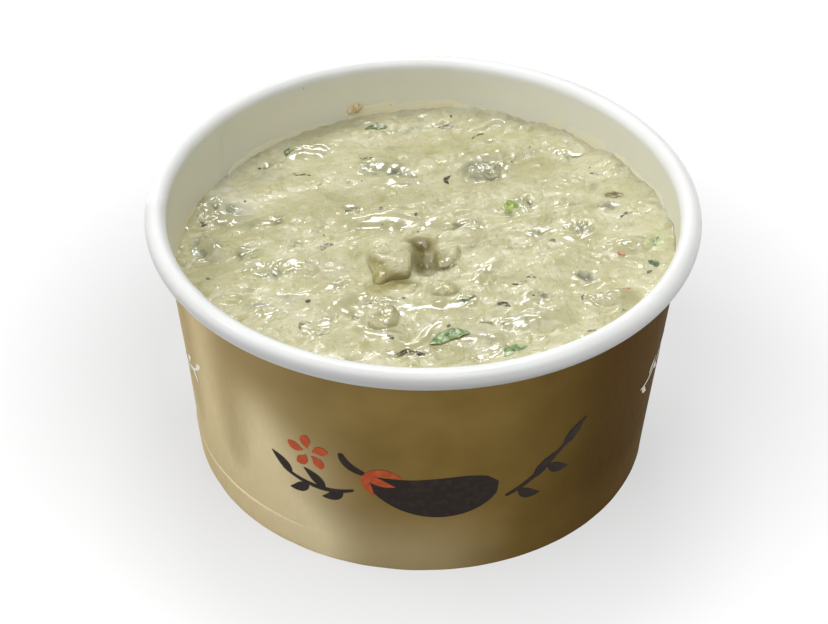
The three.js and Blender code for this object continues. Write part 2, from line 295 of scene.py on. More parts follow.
def rolling(x: Array, y: Array, pitch: float, seed: int) -> Array:
    """Smooth noise over a plane.

    Args:
        x: places, in the same unit as the pitch.
        y: the same.
        pitch: about how wide one swell is.
        seed: picks other swells.

    Returns:
        The noise, from -1 to 1.
    """
    u, v = x / pitch, y / pitch
    column, row = np.floor(u), np.floor(v)
    fu, fv = u - column, v - row
    su, sv = (f * f * f * (f * (f * 6 - 15) + 10) for f in (fu, fv))
    total = np.zeros_like(u)
    for dc in (0, 1):
        for dr in (0, 1):
            turn = 2 * math.pi * cell_number(column + dc, row + dr, seed)
            pull = np.cos(turn) * (fu - dc) + np.sin(turn) * (fv - dr)
            total += pull * (su if dc else 1 - su) * (sv if dr else 1 - sv)
    return total * 1.5


def crags(x: Array, y: Array, pitch: float, seed: int, layers: int = 3) -> Array:
    """Noise of several pitches, each half of the one before."""
    return sum(rolling(x, y, pitch / 2**k, seed + k) / 2**k for k in range(layers)) / 1.6


def pebbles(x: Array, y: Array, pitch: float, seed: int) -> tuple[Array, Array]:
    """Round-topped bumps, one in each cell of a loose grid.

    Args:
        x: places along the bumps' long way, in the same unit as the pitch.
        y: places across it.
        pitch: distance from one bump to the next.
        seed: picks another set of bumps.

    Returns:
        The height from 0 to 1, and the number of the bump that stands highest at each place.
    """
    u, v = x / pitch, y / pitch
    column, row = np.floor(u), np.floor(v)
    height = np.zeros_like(u)
    which = np.zeros_like(u)
    for dc in (-1, 0, 1):
        for dr in (-1, 0, 1):
            c, r = column + dc, row + dr
            cu = c + 0.15 + 0.7 * cell_number(c, r, seed)
            cv = r + 0.15 + 0.7 * cell_number(c, r, seed + 1)
            size = 0.45 + 0.4 * cell_number(c, r, seed + 2)
            bump = np.clip(1 - ((u - cu) ** 2 + (v - cv) ** 2) / size**2, 0, 1) ** 1.5 * size / 0.85
            which = np.where(bump > height, cell_number(c, r, seed + 3), which)
            height = np.maximum(height, bump)
    return height, which


# ---- Sizes shared with the solids --------------------------------------------------------------

TUB_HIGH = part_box("tub_wall")[1]


@dataclass(frozen=True)
class TubSizes:
    """Section of the tub in millimetres. Rim and height come from the frame."""

    rim_radius: float = TUB_HIGH[0] / MM
    height: float = TUB_HIGH[2] / MM
    roll_radius: float = 1.87
    base_radius: float = 40.25
    paper: float = 0.45
    gap: float = 0.3
    crimp_height: float = 6.0
    crimp_step: float = 0.12
    foot_round: float = 0.35
    straight: float = 2.5

    @property
    def roll_centre(self) -> float:
        """Radius of the circle along the middle of the roll."""
        return self.rim_radius - self.roll_radius

    @property
    def roll_height(self) -> float:
        """Height of the middle of the roll."""
        return self.height - self.roll_radius

    @property
    def neck_height(self) -> float:
        """Height where the cone ends and the wall stands straight."""
        return self.roll_height - self.straight

    @property
    def slope(self) -> float:
        """How far the wall leans out for each millimetre up."""
        return (self.roll_centre - self.roll_radius + self.paper - self.base_radius) / self.neck_height

    @property
    def disc_top(self) -> float:
        """Top of the bottom disc."""
        return self.crimp_height + self.paper

    def outer(self, height: float | Array) -> float | Array:
        """Outside radius of the wall at a height."""
        return self.base_radius + self.slope * np.minimum(height, self.neck_height)

    def inner(self, height: float | Array) -> float | Array:
        """Inside radius of the wall at a height."""
        return self.outer(height) - self.paper

    def wave(self, turn: Array, height: Array) -> Array:
        """How far the paper's slow waves stand out at turns in radians and heights in mm."""
        wave = 0.1 * np.sin(3 * turn + math.radians(40)) + 0.06 * np.sin(7 * turn + height / 15)
        return wave * ease(6.5, 20, height) * (1 - ease(40, 47, height))


TUB = TubSizes()


@dataclass(frozen=True)
class Feature:
    """A long mound, hollow or patch seen from above: place and half sizes in mm, turn in degrees."""

    x: float
    y: float
    long: float
    wide: float
    turn: float
    rise: float

    def share(self, x: Array, y: Array) -> Array:
        """1 in its middle, falling to 0 at its edge."""
        along, across = turned(x - self.x, y - self.y, self.turn)
        return np.clip(1 - (along / self.long) ** 2 - (across / self.wide) ** 2, 0, None) ** 2


def features(*rows: tuple[float, ...]) -> tuple[Feature, ...]:
    """Features from rows of their values: x, y, long, wide, turn, rise."""
    return tuple(Feature(*row) for row in rows)


MOUNDS = features(
    (-6.5, -0.8, 8, 7.2, 0, 2.4), (7.2, 4.6, 4.8, 3, 12, 1.1), (-7, 10.8, 8.5, 3.2, 2, 0.9),
    (-7, 21.5, 6.5, 4.2, 0, 0.9), (-15, -14, 6, 4.5, 60, 0.7), (-26, 1, 6.5, 4, 10, 0.8),
    (-31.4, -1.5, 4, 2.8, 0, 0.7), (-36.5, 2.5, 4.5, 3, -40, 1), (20, 9, 12, 3, 18, 0.8),
    (14, 30, 8, 4, 12, 0.7), (36.5, 0.8, 5, 3, 10, 0.9), (34, -14, 4.5, 2.6, 10, 0.8),
    (21, -19.5, 7, 3.4, 8, 0.9), (3, -28.5, 8, 3, -4, 0.7),
)
HOLLOWS = features(
    (-0.2, 3.0, 3.6, 2.8, 12, -1.1), (0.6, -1.9, 5.2, 3.3, 84, -1.5), (-0.6, -20.8, 6.2, 5.4, 0, -0.9),
    (28, 6.4, 3.6, 2.4, 8, -0.5), (28.6, -8, 2.8, 1.9, 0, -0.5), (-37.5, 9, 5, 3.4, -50, -0.6),
    (33, 12.5, 4, 2.4, 0, -0.4), (-20, 31, 7, 3.4, 20, -0.6),
)

Face = tuple[float, float, float, float]


def block(*far: float) -> tuple[Face, ...]:
    """The faces of an upright block, by how far left, right, front, back, bottom and top lie."""
    ways = ((-1, 0, 0), (1, 0, 0), (0, -1, 0), (0, 1, 0), (0, 0, -1), (0, 0, 1))
    return tuple((*way, distance) for way, distance in zip(ways, far))


@dataclass(frozen=True)
class Lobe:
    """A swelling on a piece of flesh, or a valley where its rise is below 0.

    It has the way to it from the piece's middle, its width in degrees, its rise in mm, and its olive tone,
    which in valleys and on the low front is painted shade.
    """

    way: Point
    width: float
    rise: float
    olive: float = 0.0

    def share(self, way: Array) -> Array:
        """1 in its middle, falling smoothly to 0 round it."""
        toward = np.array(self.way) / np.linalg.norm(self.way)
        return np.exp(-((np.degrees(np.arccos(np.clip(way @ toward, -1, 1))) / self.width) ** 2))


@dataclass(frozen=True)
class Flesh:
    """A larger piece of aubergine flesh: its middle, its cut faces, and how the skin creeps up it."""

    name: str
    x: float
    y: float
    lift: float
    span: float
    faces: tuple[Face, ...]
    edge: float
    crags: int
    rough: float
    merge_turn: float
    merge_from: float
    bare: float
    olive: float = 0.0
    grey: float = 0.0
    pulp: float = 0.0
    wet: float = 0.3
    # how strongly painted shade in brown falls on the piece's right face and low front
    brown_and_shade: float = 0.2
    lobes: tuple[Lobe, ...] = ()

    def covered(self, x: Array, y: Array) -> Array:
        """How far the skin has closed over the piece.

        Args:
            x: places seen from above.
            y: the same.

        Returns:
            The share at each place, from 0 to 1.
        """
        reach = turned(x - self.x, y - self.y, self.merge_turn)[0] / self.span
        reach = reach + 0.3 * rolling(x, y, 1.9, 131 + self.crags)
        return ease(self.merge_from, self.merge_from + 0.5, reach)

    def block_reach(self, way: Array) -> Array:
        """How far the cut block's surface lies from its middle: flat faces with rounded edges.

        Args:
            way: ways out from the middle, one row each.

        Returns:
            The distances in mm.
        """
        total = np.zeros(len(way))
        for *facing, distance in self.faces:
            toward = np.array(facing) / np.linalg.norm(facing)
            total += np.clip(way @ toward / distance, 0, None) ** self.edge
        return total ** (-1 / self.edge)

    def reach(self, way: Array) -> Array:
        """How far the whole piece's surface lies from its middle, with its lobes and waves.

        Args:
            way: ways out from the middle, one row each.

        Returns:
            The distances in mm.
        """
        far = self.block_reach(way) + sum(lobe.rise * lobe.share(way) for lobe in self.lobes)
        x, y, z = way.T
        waves = np.sin(4.1 * x + 2 * self.crags) * np.sin(3.3 * y + self.crags) + np.sin(6.7 * z + 5 * x) / 2
        return far * (1 + self.rough * waves)


CHUNK_FACES = (
    (1, -0.06, 0.06, 4.2), (-1, 0.1, 0.5, 3.8), (-0.78, -0.6, 0.3, 3.1), (0.08, -0.95, 0.3, 3.55),
    (0, 1, 0.25, 3.8), (0, 0, -1, 2.8), (0.03, -0.34, 0.94, 2.65), (0, 0.35, 0.94, 3.0),
)
# the olive tones of these lobes, and of the slab's and the nose's, paint valleys, the low front and the
# slab's left face in shade
CHUNK_LOBES = (
    Lobe((-0.72, 0.36, 0.6), 22, 0.6, 0.1), Lobe((-0.36, -0.93, 0), 19, 2, 0.7),
    Lobe((-0.75, -0.15, 0.66), 15, -0.3, 0.7), Lobe((-0.45, -0.5, 0.72), 15, -0.45, 0.9),
    Lobe((-0.2, -0.85, 0.45), 14, -0.3, 0.8), Lobe((0.45, -0.2, 0.9), 24, 0.2),
    Lobe((0.15, -0.96, 0.12), 27, 0, 0.85), Lobe((-0.5, -0.5, 0.62), 20, 0, 0.6),
)
SLAB_FACES = (
    (1, -0.1, 0.3, 2.3), (-1, -0.1, 0.1, 2), (0.25, -1, 0.15, 3.2), (0, 1, 0.4, 3.2), (0, 0, -1, 1.8),
    (0.06, -0.26, 0.96, 1.9), (-0.3, 0.2, 0.93, 2.0),
)
SLAB_LOBES = (
    Lobe((0.4, 0.6, 0.7), 24, 0.2), Lobe((-0.2, -0.2, 0.95), 24, -0.15, 0.3),
    Lobe((-0.9, -0.1, 0.4), 38, 0.0, 0.8),
)
NOSE_LOBES = (
    Lobe((0.55, 0.7, 0.3), 30, 1.0, 0.6), Lobe((-0.4, -0.3, 0.8), 28, 0.35),
    Lobe((0.2, 0.1, 1), 18, -0.25, 0.5),
)
FLESH = (
    Flesh("aubergine_chunk", -6.1, -3.9, 0.0, 4.4, CHUNK_FACES, 7, 1, 0.02, 112, 0.0, 1.3,
          olive=0.08, wet=0.2, brown_and_shade=1.0, lobes=CHUNK_LOBES),
    Flesh("aubergine_piece_right", 4.2, -0.9, -0.95, 3, SLAB_FACES, 6, 4, 0.03, 80, -0.45, 0.15,
          olive=0.6, grey=0.15, wet=0.35, lobes=SLAB_LOBES),
    Flesh("aubergine_piece_small", 3.6, -10.5, -0.4, 3, block(3, 3.1, 2, 2.1, 1.8, 1.7), 2.3, 7, 0.05,
          140, 0.0, 0.4, pulp=1.0, wet=0.5),
    Flesh("aubergine_piece_front", -7.2, -18.4, -0.7, 3.5, block(3.2, 3.0, 2.9, 3.0, 2.3, 2.2), 2.6, 2, 0.05,
          150, -0.1, 0.6, olive=0.3, wet=0.8, lobes=NOSE_LOBES),
    Flesh("aubergine_piece_back", 10.8, 24.2, -1.3, 3.9, block(3.9, 3.7, 2.9, 2.9, 2, 2.3), 3, 5, 0.06,
          200, -0.3, 0.5, grey=0.35, wet=1.0),
)


@dataclass(frozen=True)
class Ridge:
    """A thin raised line of oil and pulp along a curve through points, all in mm."""

    width: float
    steep: float
    points: tuple[tuple[float, float], ...]

    def curve(self, steps: int = 6) -> Array:
        """A smooth curve through the ridge's own points.

        Args:
            steps: points on it from each own point to the next.

        Returns:
            The curve's points, one row each.
        """
        given = np.array(self.points)
        padded = np.vstack([2 * given[0] - given[1], given, 2 * given[-1] - given[-2]])
        found = []
        for a, b, c, d in zip(padded, padded[1:], padded[2:], padded[3:]):
            for t in np.linspace(0, 1, steps, endpoint=False):
                found.append(0.5 * (2 * b + (c - a) * t + (2 * a - 5 * b + 4 * c - d) * t**2
                                    + (3 * b - a - 3 * c + d) * t**3))
        return np.array([*found, given[-1]])

    def height(self, x: Array, y: Array) -> Array:
        """How far the ridge lifts the skin.

        Args:
            x: places seen from above.
            y: the same.

        Returns:
            The lift at each place, in mm.
        """
        curve = self.curve()
        low, high = curve.min(axis=0) - 3 * self.width, curve.max(axis=0) + 3 * self.width
        near = (x > low[0]) & (x < high[0]) & (y > low[1]) & (y < high[1])
        px, py = x[near], y[near]
        best = np.full(px.shape, np.inf)
        swell = np.zeros(px.shape)
        count = len(curve) - 1
        for i, (a, b) in enumerate(zip(curve, curve[1:])):
            way = b - a
            t = np.clip(((px - a[0]) * way[0] + (py - a[1]) * way[1]) / (way @ way), 0, 1)
            away = np.hypot(px - a[0] - t * way[0], py - a[1] - t * way[1])
            along = (i + t) / count
            swell = np.where(away < best, 0.75 + 0.25 * np.sin(9 * along + self.points[0][0]), swell)
            best = np.minimum(best, away)
        lift = np.zeros_like(x)
        lift[near] = self.steep * self.width * swell * np.exp(-((best / self.width) ** 2))
        return lift


def ridges(*rows: tuple[float, ...]) -> tuple[Ridge, ...]:
    """Ridges from rows of their values: width, steepness, then x and y of each point."""
    return tuple(Ridge(row[0], row[1], tuple(zip(row[2::2], row[3::2]))) for row in rows)


RIDGES = ridges(
    (1.0, 0.6, -10.9, -20.2, -9.6, -21.9, -7, -22.6, -4.6, -22.3, -3.9, -24.6, -1.8, -25.2, 0.2,
     -23.6, 1.2, -20.9, 2.8, -19.5),
    (1.0, 0.34, -3.8, -15.6, -2.2, -14.8, 0.5, -14.5, 3.4, -14.3, 6.8, -13.8),
    (1.4, 0.3, -13.6, 9.8, -10.4, 9, -7.5, 8.6, -5.2, 8.4),
    (1.3, 0.3, -9, 10.8, -5.6, 10.2, -1, 9.4, 1.6, 9.6), (1.1, 0.3, -0.8, 8.2, 2.4, 8.0, 5, 8.6),
    (1.2, 0.4, 12.9, -2.6, 11.9, -4.6, 10.6, -6, 9.6, -8.8), (0.9, 0.3, 9.8, -3.8, 12, -4.2),
    (0.9, 0.3, 9.4, -7.2, 11.8, -7.6), (1.4, 0.36, -39, 7, -37.8, 4.5, -36.2, 1.6),
    (1.1, 0.3, -42.5, 9.5, -40, 8.6, -37.5, 9), (0.9, 0.3, 25.8, -9, 27.8, -10.3, 30.2, -9.2),
    (1.0, 0.36, 25.4, 4.4, 27.8, 3.2, 30.6, 4.6), (1.3, 0.3, 15, -20.6, 17.6, -20.2, 21, -20.4, 25, -20),
    (1.1, 0.3, 18, -17.4, 20.4, -17, 23, -17.4), (1.0, 0.3, 17.4, -14.4, 19.6, -13.6, 21.6, -14.4),
    (1.3, 0.3, -23.6, 31.4, -20.4, 32.4, -18.2, 32.3), (0.8, 0.3, -15.8, 19.8, -12.8, 19.3, -9.2, 20.2),
    (1.0, 0.36, -8.4, 26.6, -6.2, 25.4, -4.6, 26.4), (1.2, 0.36, -7.2, 22.6, -5, 21.4, -2.6, 22),
    (1.0, 0.3, 7.6, 30.2, 10.2, 28.6, 13.8, 28), (1.1, 0.3, 9, 32.6, 11.6, 31.6, 14.6, 32.4),
    (0.9, 0.3, 6.4, 22.4, 8.2, 21.2, 11, 21.4), (0.8, 0.3, 24.3, 14.8, 24.4, 12.6, 26, 11.6),
    (1.1, 0.3, 7, -24.2, 10.4, -24, 13.4, -24.4), (0.9, 0.3, -33.4, -1, -31, -2, -28.8, -1.8),
    (0.9, 0.3, -25, -10.2, -22.6, -11, -20, -10.4), (1.0, 0.36, -14.6, -11.4, -12.2, -12.4, -10, -11.8),
    (1.0, 0.36, -15.2, -15.2, -12.6, -16, -10.4, -15.2),
    (0.8, 0.36, -28.6, -15, -26.8, -16.6, -24.8, -15.4), (0.7, 0.4, -13.5, 40.6, -9.5, 41.6, -5.5, 42.1),
    (0.7, 0.4, -2.5, 42.3, 0.5, 42.4, 3.5, 42.2), (0.7, 0.4, 12.5, 40.4, 16, 39.2, 19.5, 37.6),
    (1.0, 0.3, 30.6, -13.6, 33.4, -13.8, 36, -12.8), (0.9, 0.36, 35, 1, 36.8, 0.2, 38.6, 1),
)


# ---- Shader nodes ------------------------------------------------------------------------------


class NodeBench:
    """Lays out the shader nodes of one material."""

    def __init__(self, name: str) -> None:
        """Starts a material with its one main shader.

        Args:
            name: the material's name.
        """
        self.material = bpy.data.materials.new(name)
        self.material.use_nodes = True
        self.tree = self.material.node_tree
        self.shader = self.tree.nodes["Principled BSDF"]

    def add(self, kind: str) -> bpy.types.Node:
        """A new node of a kind."""
        return self.tree.nodes.new("ShaderNode" + kind)

    def put(self, socket: Socket, value: object) -> None:
        """Links a socket to another node's output, or sets its fixed value."""
        if isinstance(value, Socket):
            self.tree.links.new(value, socket)
        else:
            socket.default_value = value

    def set(self, **values: object) -> None:
        """Sets the main shader's sockets. A name's underscores stand for spaces."""
        for name, value in values.items():
            self.put(self.shader.inputs[name.replace("_", " ")], value)

    def placed(self, scale: Point = (1, 1, 1), turn: float = 0.0) -> Socket:
        """The place on the piece.

        Args:
            scale: how much closer the pattern lies along each axis.
            turn: the pattern's turn about the vertical, in degrees.

        Returns:
            The place, for a pattern to read.
        """
        mapping = self.add("Mapping")
        mapping.inputs["Scale"].default_value = scale
        mapping.inputs["Rotation"].default_value = (0, 0, math.radians(turn))
        self.put(mapping.inputs["Vector"], self.add("TexCoord").outputs["Object"])
        return mapping.outputs["Vector"]

    def noise(self, place: Socket, pitch: float, detail: float = 2, warp: float = 0) -> Socket:
        """Noise from 0 to 1.

        Args:
            place: where it is read.
            pitch: about how wide one swell is, in mm.
            detail: layers of finer noise.
            warp: how far it is twisted.

        Returns:
            The noise.
        """
        node = self.add("TexNoise")
        self.put(node.inputs["Vector"], place)
        node.inputs["Scale"].default_value = 1 / (pitch * MM)
        node.inputs["Detail"].default_value = detail
        node.inputs["Distortion"].default_value = warp
        return node.outputs["Fac"]

    def painted(self, name: str) -> Socket:
        """The number painted on the corners.

        Args:
            name: what it was painted under.

        Returns:
            The number.
        """
        node = self.add("Attribute")
        node.attribute_name = name
        return node.outputs["Fac"]

    def between(self, value: Socket, low: float, high: float, start: float = 0, end: float = 1) -> Socket:
        """A value stretched to another range, and held inside it.

        Args:
            value: what is stretched.
            low: the value that becomes start.
            high: the value that becomes end.
            start: the result at low.
            end: the result at high.

        Returns:
            The result.
        """
        node = self.add("MapRange")
        self.put(node.inputs["Value"], value)
        for name, number in zip(("From Min", "From Max", "To Min", "To Max"), (low, high, start, end)):
            node.inputs[name].default_value = number
        return node.outputs["Result"]

    def cloud(self, noise: tuple, low: float, high: float, start: float = 0, end: float = 1) -> Socket:
        """Noise, given by what the noise method takes, stretched as the between method does."""
        return self.between(self.noise(*noise), low, high, start, end)

    def sum(self, operation: str, first: object, second: object) -> Socket:
        """Two numbers put together.

        Args:
            operation: one of the Math node's.
            first: a number or an output.
            second: the same.

        Returns:
            The result.
        """
        node = self.add("Math")
        node.operation = operation
        self.put(node.inputs[0], first)
        self.put(node.inputs[1], second)
        return node.outputs["Value"]

    def blend(self, share: object, first: object, second: object) -> Socket:
        """Two colours mixed.

        Args:
            share: how much of the second, from 0 to 1.
            first: a colour or an output.
            second: the same.

        Returns:
            The mix.
        """
        node = self.add("Mix")
        node.data_type = "RGBA"
        for place, value in ((0, share), (6, first), (7, second)):
            self.put(node.inputs[place], value)
        return node.outputs[2]

    def layers(self, colour: object, *coats: tuple[Socket, Colour]) -> Socket:
        """A colour under coats of others, each a share and its colour."""
        for share, coat in coats:
            colour = self.blend(share, colour, coat)
        return colour

    def bump(self, height: Socket, depth: float, under: Socket | None = None) -> Socket:
        """A roughened surface.

        Args:
            height: the relief, from 0 to 1.
            depth: its full depth in mm.
            under: a coarser or finer relief that it lies on.

        Returns:
            The surface's normal.
        """
        node = self.add("Bump")
        node.inputs["Strength"].default_value = 1
        node.inputs["Distance"].default_value = depth * MM
        self.put(node.inputs["Height"], height)
        if under is not None:
            self.put(node.inputs["Normal"], under)
        return node.outputs["Normal"]

    def grain(self, noise: tuple, depth: float, under: Socket | None = None) -> Socket:
        """A surface roughened by noise, given by what the noise method takes."""
        return self.bump(self.noise(*noise), depth, under)


# ---- Finishes ----------------------------------------------------------------------------------


@dataclass(frozen=True)
class BoardFinish:
    """White coated board: a soft satin sheen over a barely uneven surface."""

    colour: Colour = shade(231, 232, 230)
    cloudy: Colour = shade(224, 225, 223)
    # an oil stain and painted light bounced from the dip: the warm tint inside the tub
    oil_and_bounce_tint: Colour = shade(229, 228, 212)
    # painted shade: the greyer colour of the board under the roll
    under: Colour = shade(146, 147, 147)
    roughness: float = 0.38

    def make(self) -> Material:
        """The board, with a warm tint painted inside the tub and painted shade under the roll.

        Returns:
            The material.
        """
        bench = NodeBench("white_board")
        place = bench.placed()
        cloud = bench.cloud((place, 14, 3), 0.35, 0.7)
        inside, under = bench.painted("inside"), bench.painted("under")
        # the inside gets its warm tint, and the roll's underside gets painted shade
        colour = bench.layers(self.colour, (cloud, self.cloudy), (inside, self.oil_and_bounce_tint), (under, self.under))
        bench.set(Base_Color=colour, IOR=1.45, Coat_Weight=0.25, Coat_Roughness=0.2)
        rough = self.roughness
        bench.set(Roughness=bench.cloud((place, 2.2, 3), 0.3, 0.7, rough - 0.05, rough + 0.08))
        bench.set(Normal=bench.grain((place, 9, 1), 0.05, bench.grain((place, 0.5, 3), 0.006)))
        bench.set(Subsurface_Weight=0.12, Subsurface_Scale=0.4 * MM)
        return bench.material


@dataclass(frozen=True)
class GoldFinish:
    """Metallic gold ink on coated board: fine upright streaks, a satin glow, painted highlights and painted
    shade.
    """

    light: Colour = shade(132, 110, 62)
    dark: Colour = shade(112, 90, 45)
    # painted highlight: the pale colour of the gold's painted highlight bands
    sheen: Colour = shade(212, 198, 160)
    # painted shade: the darker gold on the tub's right side
    painted_shade: Colour = shade(74, 56, 25)
    edge: Colour = shade(192, 170, 128)
    roughness: float = 0.5

    def make(self) -> Material:
        """The gold print, with painted highlights in its bands and painted shade on the tub's right side.

        Returns:
            The material.
        """
        bench = NodeBench("gold_print")
        place = bench.placed()
        streaks = bench.noise(bench.placed((1, 1, 0.2)), 0.7, 3)
        cloud = bench.cloud((place, 11, 2), 0.3, 0.7, 0.1, 0.8)
        share = bench.sum("ADD", bench.between(streaks, 0.3, 0.7, 0, 0.12), cloud)
        # where the painted highlights lie
        highlight_share = bench.sum("MULTIPLY", bench.painted("sheen"), bench.between(streaks, 0.3, 0.7, 0.93, 1.04))
        # painted shade darkens the tub's right side
        coats = ((share, self.light), (bench.painted("painted_shade"), self.painted_shade), (highlight_share, self.sheen))
        bench.set(Base_Color=bench.layers(self.dark, *coats), Metallic=0.75)
        bench.set(Roughness=bench.between(streaks, 0.3, 0.7, self.roughness - 0.04, self.roughness + 0.06))
        bench.set(Specular_IOR_Level=0.1, Specular_Tint=self.edge, Coat_Weight=0.03, Coat_Roughness=0.4)
        fibre = bench.bump(streaks, 0.004, bench.grain((place, 0.45, 1), 0.008))
        bench.set(Normal=bench.grain((place, 7, 1), 0.09, fibre))
        return bench.material


@dataclass(frozen=True)
class InkFinish:
    """Flat printed ink with a faint sheen and a slightly uneven cover."""

    name: str
    colour: Colour
    worn: Colour
    roughness: float = 0.4

    def make(self) -> Material:
        """The ink, a little worn in places.

        Returns:
            The material.
        """
        bench = NodeBench(self.name)
        place = bench.placed()
        bench.set(Base_Color=bench.blend(bench.cloud((place, 1.4, 4), 0.45, 0.75), self.colour, self.worn))
        rough = self.roughness
        bench.set(Roughness=bench.cloud((place, 0.6, 2), 0.3, 0.7, rough - 0.06, rough + 0.06))
        bench.set(Normal=bench.grain((place, 0.4, 2), 0.006), Specular_IOR_Level=0.15)
        return bench.material


@dataclass(frozen=True)
class DipFinish:
    """Glossy, creamy, slightly translucent aubergine with grey, olive and yellow patches, brown patches that
    are mostly painted shade, painted shade in its hollows and painted light along the back wall.
    """

    name: str
    cream: Colour = shade(191, 186, 148)
    pale: Colour = shade(202, 199, 168)
    pulp: Colour = shade(182, 178, 132)
    drift: Colour = shade(172, 167, 124)
    # milky film, and painted light along the back wall
    milk: Colour = shade(208, 206, 186)
    olive: Colour = shade(154, 145, 86)
    grey: Colour = shade(142, 143, 118)
    green: Colour = shade(172, 180, 114)
    # dark brown, used mostly as painted shade beside, below and round the flesh
    brown_and_shade: Colour = shade(100, 86, 30)
    # painted shade: the darker colour in the pulp's hollows
    hollow_shade: Colour = shade(114, 114, 80)
    glow: Point = (1.0, 0.85, 0.45)
    scatter: float = 1.6

    def colour(self, bench: NodeBench, place: Socket) -> Socket:
        """The dip's colour: coats of seeded clouds, then the patches painted on it.

        Args:
            bench: where the nodes are laid out.
            place: the place on the piece.

        Returns:
            The colour.
        """
        sweep = bench.placed((1, 1.4, 1.4), -14)
        swell = bench.noise(sweep, 13, 2)
        clouds = (
            (bench.cloud((sweep, 4, 4, 0.3), 0.38, 0.66), self.pale),
            (bench.painted("pulp"), self.pulp),
            (bench.cloud((place, 1.1, 3), 0.48, 0.66, 0, 0.6), self.pulp),
            (bench.between(swell, 0.42, 0.66, 0, 0.75), self.drift),
            (bench.between(swell, 0.46, 0.3, 0, 0.35), self.pale),
            (bench.cloud((place, 4.6, 3, 0.4), 0.5, 0.64, 0, 0.5), self.drift),
        )
        # olive, brown_and_shade, hollow_shade and milk carry painted shade and painted light as well as
        # colour
        patches = {"milk": self.milk, "olive": self.olive, "green": self.green}
        patches |= {"grey": self.grey, "brown_and_shade": self.brown_and_shade, "hollow_shade": self.hollow_shade}
        painted = [(bench.painted(name), tone) for name, tone in patches.items()]
        return bench.layers(self.cream, *clouds, *painted)

    def make(self) -> Material:
        """The dip, wet where it is painted rough and calm where it is painted even.

        Returns:
            The material.
        """
        bench = NodeBench(self.name)
        place = bench.placed()
        wet, even = bench.painted("rough"), bench.painted("even")
        bench.set(Base_Color=self.colour(bench, place), IOR=1.42, Specular_IOR_Level=0.6)
        bench.set(Roughness=bench.between(wet, 0, 1, 0.44, 0.27))
        beads = bench.cloud((place, 0.9, 1), 0.52, 0.78)
        film, dots = bench.between(wet, 0.08, 0.6, 0.1, 1), bench.between(beads, 0, 0.5, 0, 0.6)
        bench.set(Coat_Weight=bench.sum("MAXIMUM", film, dots), Coat_Roughness=0.13, Coat_IOR=1.6)
        bench.set(Subsurface_Weight=0.35, Subsurface_Scale=self.scatter * MM, Subsurface_Radius=self.glow)
        grain = bench.sum("MULTIPLY", bench.noise(place, 1.1, 1), bench.between(wet, 0, 1, 0.1, 1))
        grain = bench.sum("MULTIPLY", grain, bench.between(even, 0, 1, 1, 0.15))
        beads = bench.sum("MULTIPLY", beads, bench.between(even, 0, 1, 1, 0.1))
        bench.set(Normal=bench.bump(grain, 0.16, bench.bump(beads, 0.14)))
        return bench.material


@dataclass(frozen=True)
class ScrapFinish:
    """Herb, charred skin or spice under a film of oil."""

    name: str
    light: Colour
    dark: Colour
    cream: Colour = shade(196, 190, 150)

    def make(self) -> Material:
        """The scraps: cream of the dip covers part of each.

        Returns:
            The material.
        """
        bench = NodeBench(self.name)
        place = bench.placed()
        own = bench.cloud((place, 0.7, 3), 0.35, 0.65)
        covered = bench.cloud((place, 1.1, 4, 0.5), 0.5, 0.62, 0, 0.8)
        bench.set(Base_Color=bench.layers(self.dark, (own, self.light), (covered, self.cream)))
        bench.set(Roughness=0.45, Coat_Weight=0.45, Coat_Roughness=0.12, Specular_IOR_Level=0.3)
        bench.set(Subsurface_Weight=0.1, Subsurface_Scale=0.4 * MM)
        bench.set(Normal=bench.grain((place, 0.35, 2), 0.05))
        return bench.material


@dataclass(frozen=True)
class SmearFinish:
    """A thin oily film of dip on the board, olive where it is thick."""

    thick: Colour = shade(236, 228, 190)
    thin: Colour = shade(230, 227, 206)

    def make(self) -> Material:
        """The smears, paler where they are thin.

        Returns:
            The material.
        """
        bench = NodeBench("oily_smear")
        place = bench.placed()
        blot = bench.cloud((place, 1.6, 4), 0.35, 0.65, 0.55, 1.2)
        share = bench.between(bench.sum("MULTIPLY", bench.painted("cover"), blot), 0.0, 0.8)
        bench.set(Base_Color=bench.blend(share, self.thin, self.thick))
        bench.set(Roughness=0.45, Coat_Weight=0.5, Coat_Roughness=0.1)
        bench.set(Normal=bench.grain((place, 0.8, 3), 0.08))
        return bench.material


@dataclass(frozen=True)
class FloorFinish:
    """A pale floor that glows, with a painted shadow: its glow is darker round the tub."""

    # painted shadow: the darker glow next to the tub
    near: Colour = shade(217, 217, 217)
    far: Colour = shade(255, 255, 255)
    middle: Point = (0, 0.02, 0)
    board: Colour = shade(116, 116, 116)
    glow: float = 0.85

    def make(self) -> Material:
        """The floor: it glows softly, so that shadows on it stay light.

        Returns:
            The material.
        """
        bench = NodeBench("pale_floor")
        away = bench.add("VectorMath")
        away.operation = "DISTANCE"
        away.inputs[1].default_value = self.middle
        bench.put(away.inputs[0], bench.placed())
        # painted shadow round the tub, fading out with distance
        tone = bench.blend(bench.between(away.outputs["Value"], 0.05, 0.095), self.near, self.far)
        bench.set(Base_Color=self.board, Roughness=0.75, Specular_IOR_Level=0.2)
        bench.set(Emission_Color=tone, Emission_Strength=self.glow)
        return bench.material


# ---- The tub -----------------------------------------------------------------------------------


